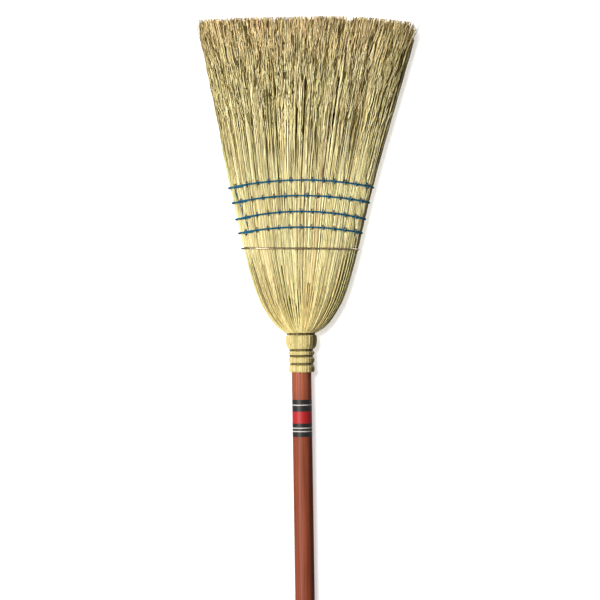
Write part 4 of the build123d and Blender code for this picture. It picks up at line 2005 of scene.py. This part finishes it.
@dataclass
class Sewing:
    """The twine: a band round the head in each row, laced through the head at every stitch.

    A tick is the part of the lacing that crosses the band at a stitch.
    """

    form: HeadForm
    slot: str = "sewing_twine"
    band_rest: float = 0.0007
    band_out: float = 0.0024
    band_ply: float = 0.00074
    band_points: int = 60
    band_smooth: int = 9
    band_rounds: int = 4
    band_end: float = 0.6
    tail: float = 0.017
    tail_drop: float = 0.0012
    tail_rise: Span = (0.02, 0.075)
    tail_room: float = 0.0024
    lacing_ply: float = 0.00042
    lacing_smooth: int = 5
    plies: int = 2
    ply_spread: float = 0.86
    ply_lay: float = 6.5
    out_share: float = 0.2
    tick_above: float = 0.0046
    tick_below: float = 0.0030
    tick_crest: float = 0.0015
    tick_lean: float = 0.0006
    crest_lean: float = 0.4
    tick_foot: float = -0.0008
    tick_lift: float = 0.0032
    link_aside: float = 0.0028
    link_lift: float = 0.0006
    dive: Triple = (0.0, 0.005, 0.0)
    end_dive: Triple = (0.0, 0.005, -0.001)
    finish: bpy.types.Material = field(init=False, repr=False)

    def __post_init__(self) -> None:
        """Makes the twine's finish."""
        self.finish = TwineFinish().make()

    def band_point(self, row: SewnRow, turn: float, below: float) -> Vector:
        """Finds a point of a row's band, closing in on the row's height at its own place.

        Args:
            row: The row.
            turn: Angle about the handle's axis from +X; negative is the front.
            below: How far below the row it lies.

        Returns:
            The point in the part's frame.
        """
        h = row.middle
        for _ in range(self.band_rounds):
            h = row.height(self.form, self.form.across(h, turn)) - below
        out = self.band_rest + self.band_out * math.cos(turn) ** SIDE_POWER
        return self.form.outline(h, turn, -out)

    def band_route(self, row: SewnRow) -> list[Vector]:
        """Leads a row's band once round the head, its tail tucked under its end at the front left.

        Args:
            row: The row.

        Returns:
            The control points.
        """
        power = self.form.power(row.middle) / 2
        tail = math.acos((1 - self.tail / self.form.half_width(row.middle)) ** power)
        first, last = math.pi + tail, math.pi + self.band_end * tail
        total = first + 2 * math.pi - last
        route = []
        for k in range(self.band_points + 1):
            share = k / self.band_points
            risen = progress(share, *self.tail_rise)
            below = self.tail_drop * (1 - risen) ** 2 * (1 + 2 * risen)
            route.append(self.band_point(row, first - total * share, below))
        return route

    def tick(self, row: SewnRow, side: Side, x: float) -> list[Vector]:
        """Leads a stitch over the band, from above it to below it.

        Args:
            row: The row.
            side: Face of the head.
            x: Distance from the head's middle.

        Returns:
            The control points.
        """
        over_tail = side is Side.FRONT and x < self.tail + self.tail_room - self.form.half_width(row.middle)
        extra = self.tail_drop if over_tail else 0.0
        h, lean, crest = row.height(self.form, x), self.tick_lean, self.crest_lean * self.tick_lean
        steps = (
            (-lean, self.tick_above, self.tick_foot),
            (-crest, self.tick_crest, self.tick_lift),
            (crest, -self.tick_crest - extra, self.tick_lift),
            (lean, -self.tick_below - extra, self.tick_foot),
        )
        return [self.form.surface(side, x + aside, h + up, lift) for aside, up, lift in steps]

    def lacing_route(self, index: int) -> list[Vector]:
        """Leads a row's lacing through the head at each stitch, and on to the row below.

        Args:
            index: The row's place in ROWS.

        Returns:
            The control points.
        """
        row = ROWS[index]
        places = row.stitches(self.form)
        ticks = [self.tick(row, side, x) for side, x in places]
        route = [ticks[0][0] + Vector(self.dive)] + [p for t in ticks for p in t]
        if index + 1 < len(ROWS):
            x = places[-1][1] + self.link_aside
            h = ROWS[index + 1].height(self.form, x)
            near = self.form.surface(Side.FRONT, x, h + self.tick_above, self.link_lift)
            foot = self.form.surface(Side.FRONT, x, h, self.tick_foot)
            route = route[:-1] + [near, foot]
        return route + [route[-1] + Vector(self.end_dive)]

    def twine(self, node: str, line: list[Vector], radius: float) -> None:
        """Builds twine of twisted plies along a line.

        Args:
            node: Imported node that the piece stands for.
            line: Points of the twine's middle.
            radius: Radius of a ply.
        """
        tubes = Tubes(node + "_twine", resolution=1)
        for ply in range(self.plies):
            along, strand = 0.0, Strand()
            for k, place in enumerate(line):
                ahead = line[min(k + 1, len(line) - 1)] - line[max(k - 1, 0)]
                out = Vector((place.x * self.out_share, place.y, 0)).normalized()
                across = ahead.cross(out).normalized()
                out = across.cross(ahead).normalized()
                if k:
                    along += (place - line[k - 1]).length
                turn = 2 * math.pi * (along / (self.ply_lay * radius) + ply / self.plies)
                aside = (out * math.sin(turn) + across * math.cos(turn)) * radius * self.ply_spread
                strand.add(place + aside, radius, WHITE)
            tubes.strands.append(strand)
        Piece.add(tubes.mesh(), self.finish, self.slot, node)

    def build(self) -> None:
        """Builds every row's band and lacing."""
        for index, row in enumerate(ROWS):
            band = smooth_line(self.band_route(row), self.band_smooth)
            self.twine(f"stitch_band_{row.number}", band, self.band_ply)
            lacing = smooth_line(self.lacing_route(index), self.lacing_smooth)
            self.twine(f"stitch_lacing_{row.number}", lacing, self.lacing_ply)


@dataclass(frozen=True)
class Binding:
    """The wire: windings at the neck, brads and the hoop round the shoulders."""

    neck_nodes: tuple[str, ...] = (
        "crown_winding_wire",
        "core_winding_wire",
        "shoulder_winding_wire",
        "wire_brads",
    )
    hoop_node: str = "shoulder_hoop_wire"
    neck_finish: WireFinish = WireFinish("dull_binding_wire", (46, 38, 22), (74, 62, 38), 0.22, 0.34)
    hoop_finish: WireFinish = WireFinish("bright_hoop_wire", (106, 93, 74), (152, 137, 110), 0.26, 0.38)

    def dress(self) -> None:
        """Gives the wires their finishes."""
        neck = self.neck_finish.make()
        for node in self.neck_nodes:
            Piece.dress(node, neck)
        Piece.dress(self.hoop_node, self.hoop_finish.make())


@dataclass(frozen=True)
class Handle:
    """The lacquered handle and its label."""

    node: str = "handle"
    label_node: str = "handle_label"

    def dress(self) -> None:
        """Gives the handle and the label their finishes."""
        Piece.dress(self.node, LacquerFinish().make())
        low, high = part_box(self.label_node)
        Piece.dress(self.label_node, LabelFinish().make(low.z, high.z))


@dataclass(frozen=True)
class Studio:
    """Camera, lamps, white floor and the white board behind the broom."""

    picture: float = 0.78
    middle: Triple = (-0.0006, 0.0, 1.0588)
    distance: float = 3.0
    roll: float = math.radians(0.88)
    sensor: float = 36.0
    board_y: float = 0.0368
    board_size: float = 2.6
    floor_size: float = 40.0
    paint: float = 0.62
    glow: float = 0.55
    aim: Triple = (0.0, 0.0, 1.1)
    key_place: Triple = (-1.46, -2.0, 1.15)
    key_size: Span = (0.5, 2.0)
    key_watts: float = 110.0
    back_place: Triple = (-0.3, 2.4, 1.9)
    back_size: Span = (0.7, 0.7)
    back_watts: float = 80.0
    side_place: Triple = (1.60, 1.45, 3.0)
    side_watts: float = 64.0
    board_lamp_place: Triple = (-0.40, -2.9, 1.45)
    board_lamp_size: Span = (0.42, 0.42)
    board_watts: float = 96.0
    floor_sun: float = 2.8
    sun_spread: float = math.radians(12)
    sun_turn: Triple = (math.radians(30), 0.0, math.radians(-30))
    ambient: float = 0.07

    def add(self, name: str, data: bpy.types.ID) -> bpy.types.Object:
        """Puts a camera, lamp or mesh in the scene.

        Args:
            name: Name of the object.
            data: What it shows.

        Returns:
            The object.
        """
        made = bpy.data.objects.new(name, data)
        bpy.context.scene.collection.objects.link(made)
        return made

    def camera(self) -> None:
        """Sets up the camera at the photograph's angle."""
        data = bpy.data.cameras.new("camera")
        data.sensor_width = self.sensor
        data.lens = self.sensor * self.distance / self.picture
        made = self.add("camera", data)
        look = Matrix.Rotation(math.radians(90), 4, "X") @ Matrix.Rotation(-self.roll, 4, "Z")
        made.matrix_world = Matrix.Translation(Vector(self.middle) - Vector((0, self.distance, 0))) @ look
        bpy.context.scene.camera = made

    def lamp(self, name: str, place: Triple, size: Span, watts: float) -> bpy.types.Object:
        """Adds an area lamp that points at the head.

        Args:
            name: Name of the lamp.
            place: Where it stands.
            size: Its width and height.
            watts: Its power.

        Returns:
            The lamp.
        """
        data = bpy.data.lights.new(name, "AREA")
        data.shape = "RECTANGLE"
        data.size, data.size_y = size
        data.energy = watts
        made = self.add(name, data)
        made.location = place
        made.rotation_euler = (Vector(self.aim) - Vector(place)).to_track_quat("-Z", "Y").to_euler()
        return made

    def sun(self) -> bpy.types.Object:
        """Adds the floor's own light, even over all of it.

        Returns:
            The light.
        """
        data = bpy.data.lights.new("floor_sun", "SUN")
        data.energy = self.floor_sun
        data.angle = self.sun_spread
        made = self.add("floor_sun", data)
        made.rotation_euler = self.sun_turn
        return made

    def share(self, lamp: bpy.types.Object, state: str, stage: tuple[bpy.types.Object, ...]) -> None:
        """Ties a lamp to parts of the stage.

        Args:
            lamp: The lamp.
            state: INCLUDE for a lamp that lights nothing else, EXCLUDE for one that lights all else.
            stage: The parts of the stage.
        """
        group = bpy.data.collections.new(lamp.name + "_stage")
        for thing in stage:
            group.objects.link(thing)
        for member in group.collection_objects:
            member.light_linking.link_state = state
        lamp.light_linking.receiver_collection = group

    def lamps(self, floor: bpy.types.Object, board: bpy.types.Object) -> None:
        """Sets up the key lamp on the left, two behind the broom, and the stage's own.

        Args:
            floor: The floor, which only its own lamp lights.
            board: The board, which only its own lamp lights.
        """
        key = self.lamp("key", self.key_place, self.key_size, self.key_watts)
        back = self.lamp("back", self.back_place, self.back_size, self.back_watts)
        side = self.lamp("side", self.side_place, self.back_size, self.side_watts)
        for lamp in (key, back, side):
            self.share(lamp, "EXCLUDE", (floor, board))
        own = self.lamp("board_lamp", self.board_lamp_place, self.board_lamp_size, self.board_watts)
        self.share(own, "INCLUDE", (board,))
        self.share(self.sun(), "INCLUDE", (floor,))

    def world(self) -> None:
        """Sets up an even soft light that the camera and gloss see as white."""
        world = bpy.data.worlds.new("studio")
        bpy.context.scene.world = world
        world.use_nodes = True
        tree = world.node_tree
        back = tree.nodes["Background"]
        back.inputs["Color"].default_value = (*WHITE, 1)
        path = tree.nodes.new("ShaderNodeLightPath")
        seen = path.outputs["Is Camera Ray"]
        for ray in ("Is Glossy Ray", "Is Transmission Ray"):
            most = tree.nodes.new("ShaderNodeMath")
            most.operation = "MAXIMUM"
            tree.links.new(seen, most.inputs[0])
            tree.links.new(path.outputs[ray], most.inputs[1])
            seen = most.outputs["Value"]
        strength = tree.nodes.new("ShaderNodeMapRange")
        strength.inputs["To Min"].default_value = self.ambient
        strength.inputs["To Max"].default_value = 1.0
        tree.links.new(seen, strength.inputs["Value"])
        tree.links.new(strength.outputs["Result"], back.inputs["Strength"])

    def white(self, name: str, see_through_back: bool) -> bpy.types.Material:
        """Makes the white of the floor or the board.

        Args:
            name: Name of the material.
            see_through_back: Whether the surface is clear from behind.

        Returns:
            The material, white where it is lit and grey in shadow.
        """
        made = bpy.data.materials.new(name)
        made.use_nodes = True
        tree = made.node_tree
        tree.nodes.clear()
        out = tree.nodes.new("ShaderNodeOutputMaterial")
        paint = tree.nodes.new("ShaderNodeBsdfDiffuse")
        paint.inputs["Color"].default_value = (self.paint, self.paint, self.paint, 1)
        glow = tree.nodes.new("ShaderNodeEmission")
        path = tree.nodes.new("ShaderNodeLightPath")
        lift = tree.nodes.new("ShaderNodeMath")
        lift.operation = "MULTIPLY"
        lift.inputs[1].default_value = self.glow
        tree.links.new(path.outputs["Is Camera Ray"], lift.inputs[0])
        tree.links.new(lift.outputs["Value"], glow.inputs["Strength"])
        both = tree.nodes.new("ShaderNodeAddShader")
        tree.links.new(paint.outputs[0], both.inputs[0])
        tree.links.new(glow.outputs[0], both.inputs[1])
        surface = both.outputs[0]
        if see_through_back:
            side = tree.nodes.new("ShaderNodeNewGeometry")
            clear = tree.nodes.new("ShaderNodeBsdfTransparent")
            pick = tree.nodes.new("ShaderNodeMixShader")
            tree.links.new(side.outputs["Backfacing"], pick.inputs["Fac"])
            tree.links.new(surface, pick.inputs[1])
            tree.links.new(clear.outputs[0], pick.inputs[2])
            surface = pick.outputs[0]
        tree.links.new(surface, out.inputs["Surface"])
        return made

    def plane(
        self, name: str, size: float, place: Matrix, material: bpy.types.Material
    ) -> bpy.types.Object:
        """Adds a square of the stage.

        Args:
            name: Name of the object.
            size: Length of a side.
            place: Where it goes.
            material: Its finish.

        Returns:
            The new object.
        """
        mesh = bmesh.new()
        bmesh.ops.create_grid(mesh, x_segments=1, y_segments=1, size=size / 2, matrix=place)
        made = bpy.data.meshes.new(name)
        mesh.to_mesh(made)
        mesh.free()
        made.materials.append(material)
        thing = self.add(name, made)
        return thing

    def build(self) -> None:
        """Sets up the studio."""
        bpy.context.scene.view_settings.view_transform = "Standard"
        floor = self.plane("floor", self.floor_size, Matrix.Identity(4), self.white("floor_white", False))
        floor.visible_diffuse = False
        upright = Matrix.Rotation(math.radians(90), 4, "X")
        stand = Matrix.Translation((0, self.board_y, self.board_size / 2)) @ upright
        board = self.plane("board", self.board_size, stand, self.white("board_white", True))
        board.visible_diffuse = False
        board.visible_glossy = False
        board.visible_transmission = False
        board.visible_shadow = False
        self.world()
        self.lamps(floor, board)
        self.camera()


def main() -> None:
    """Dresses the broom and sets up the studio."""
    logging.basicConfig(level=logging.INFO, format="%(name)s %(message)s")
    form = HeadForm(sleeve_z=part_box("front_hurl")[0].z)
    StrawHead(form).build()
    Sewing(form).build()
    Binding().dress()
    Handle().dress()
    Studio().build()


if __name__ == "__main__":
    main()
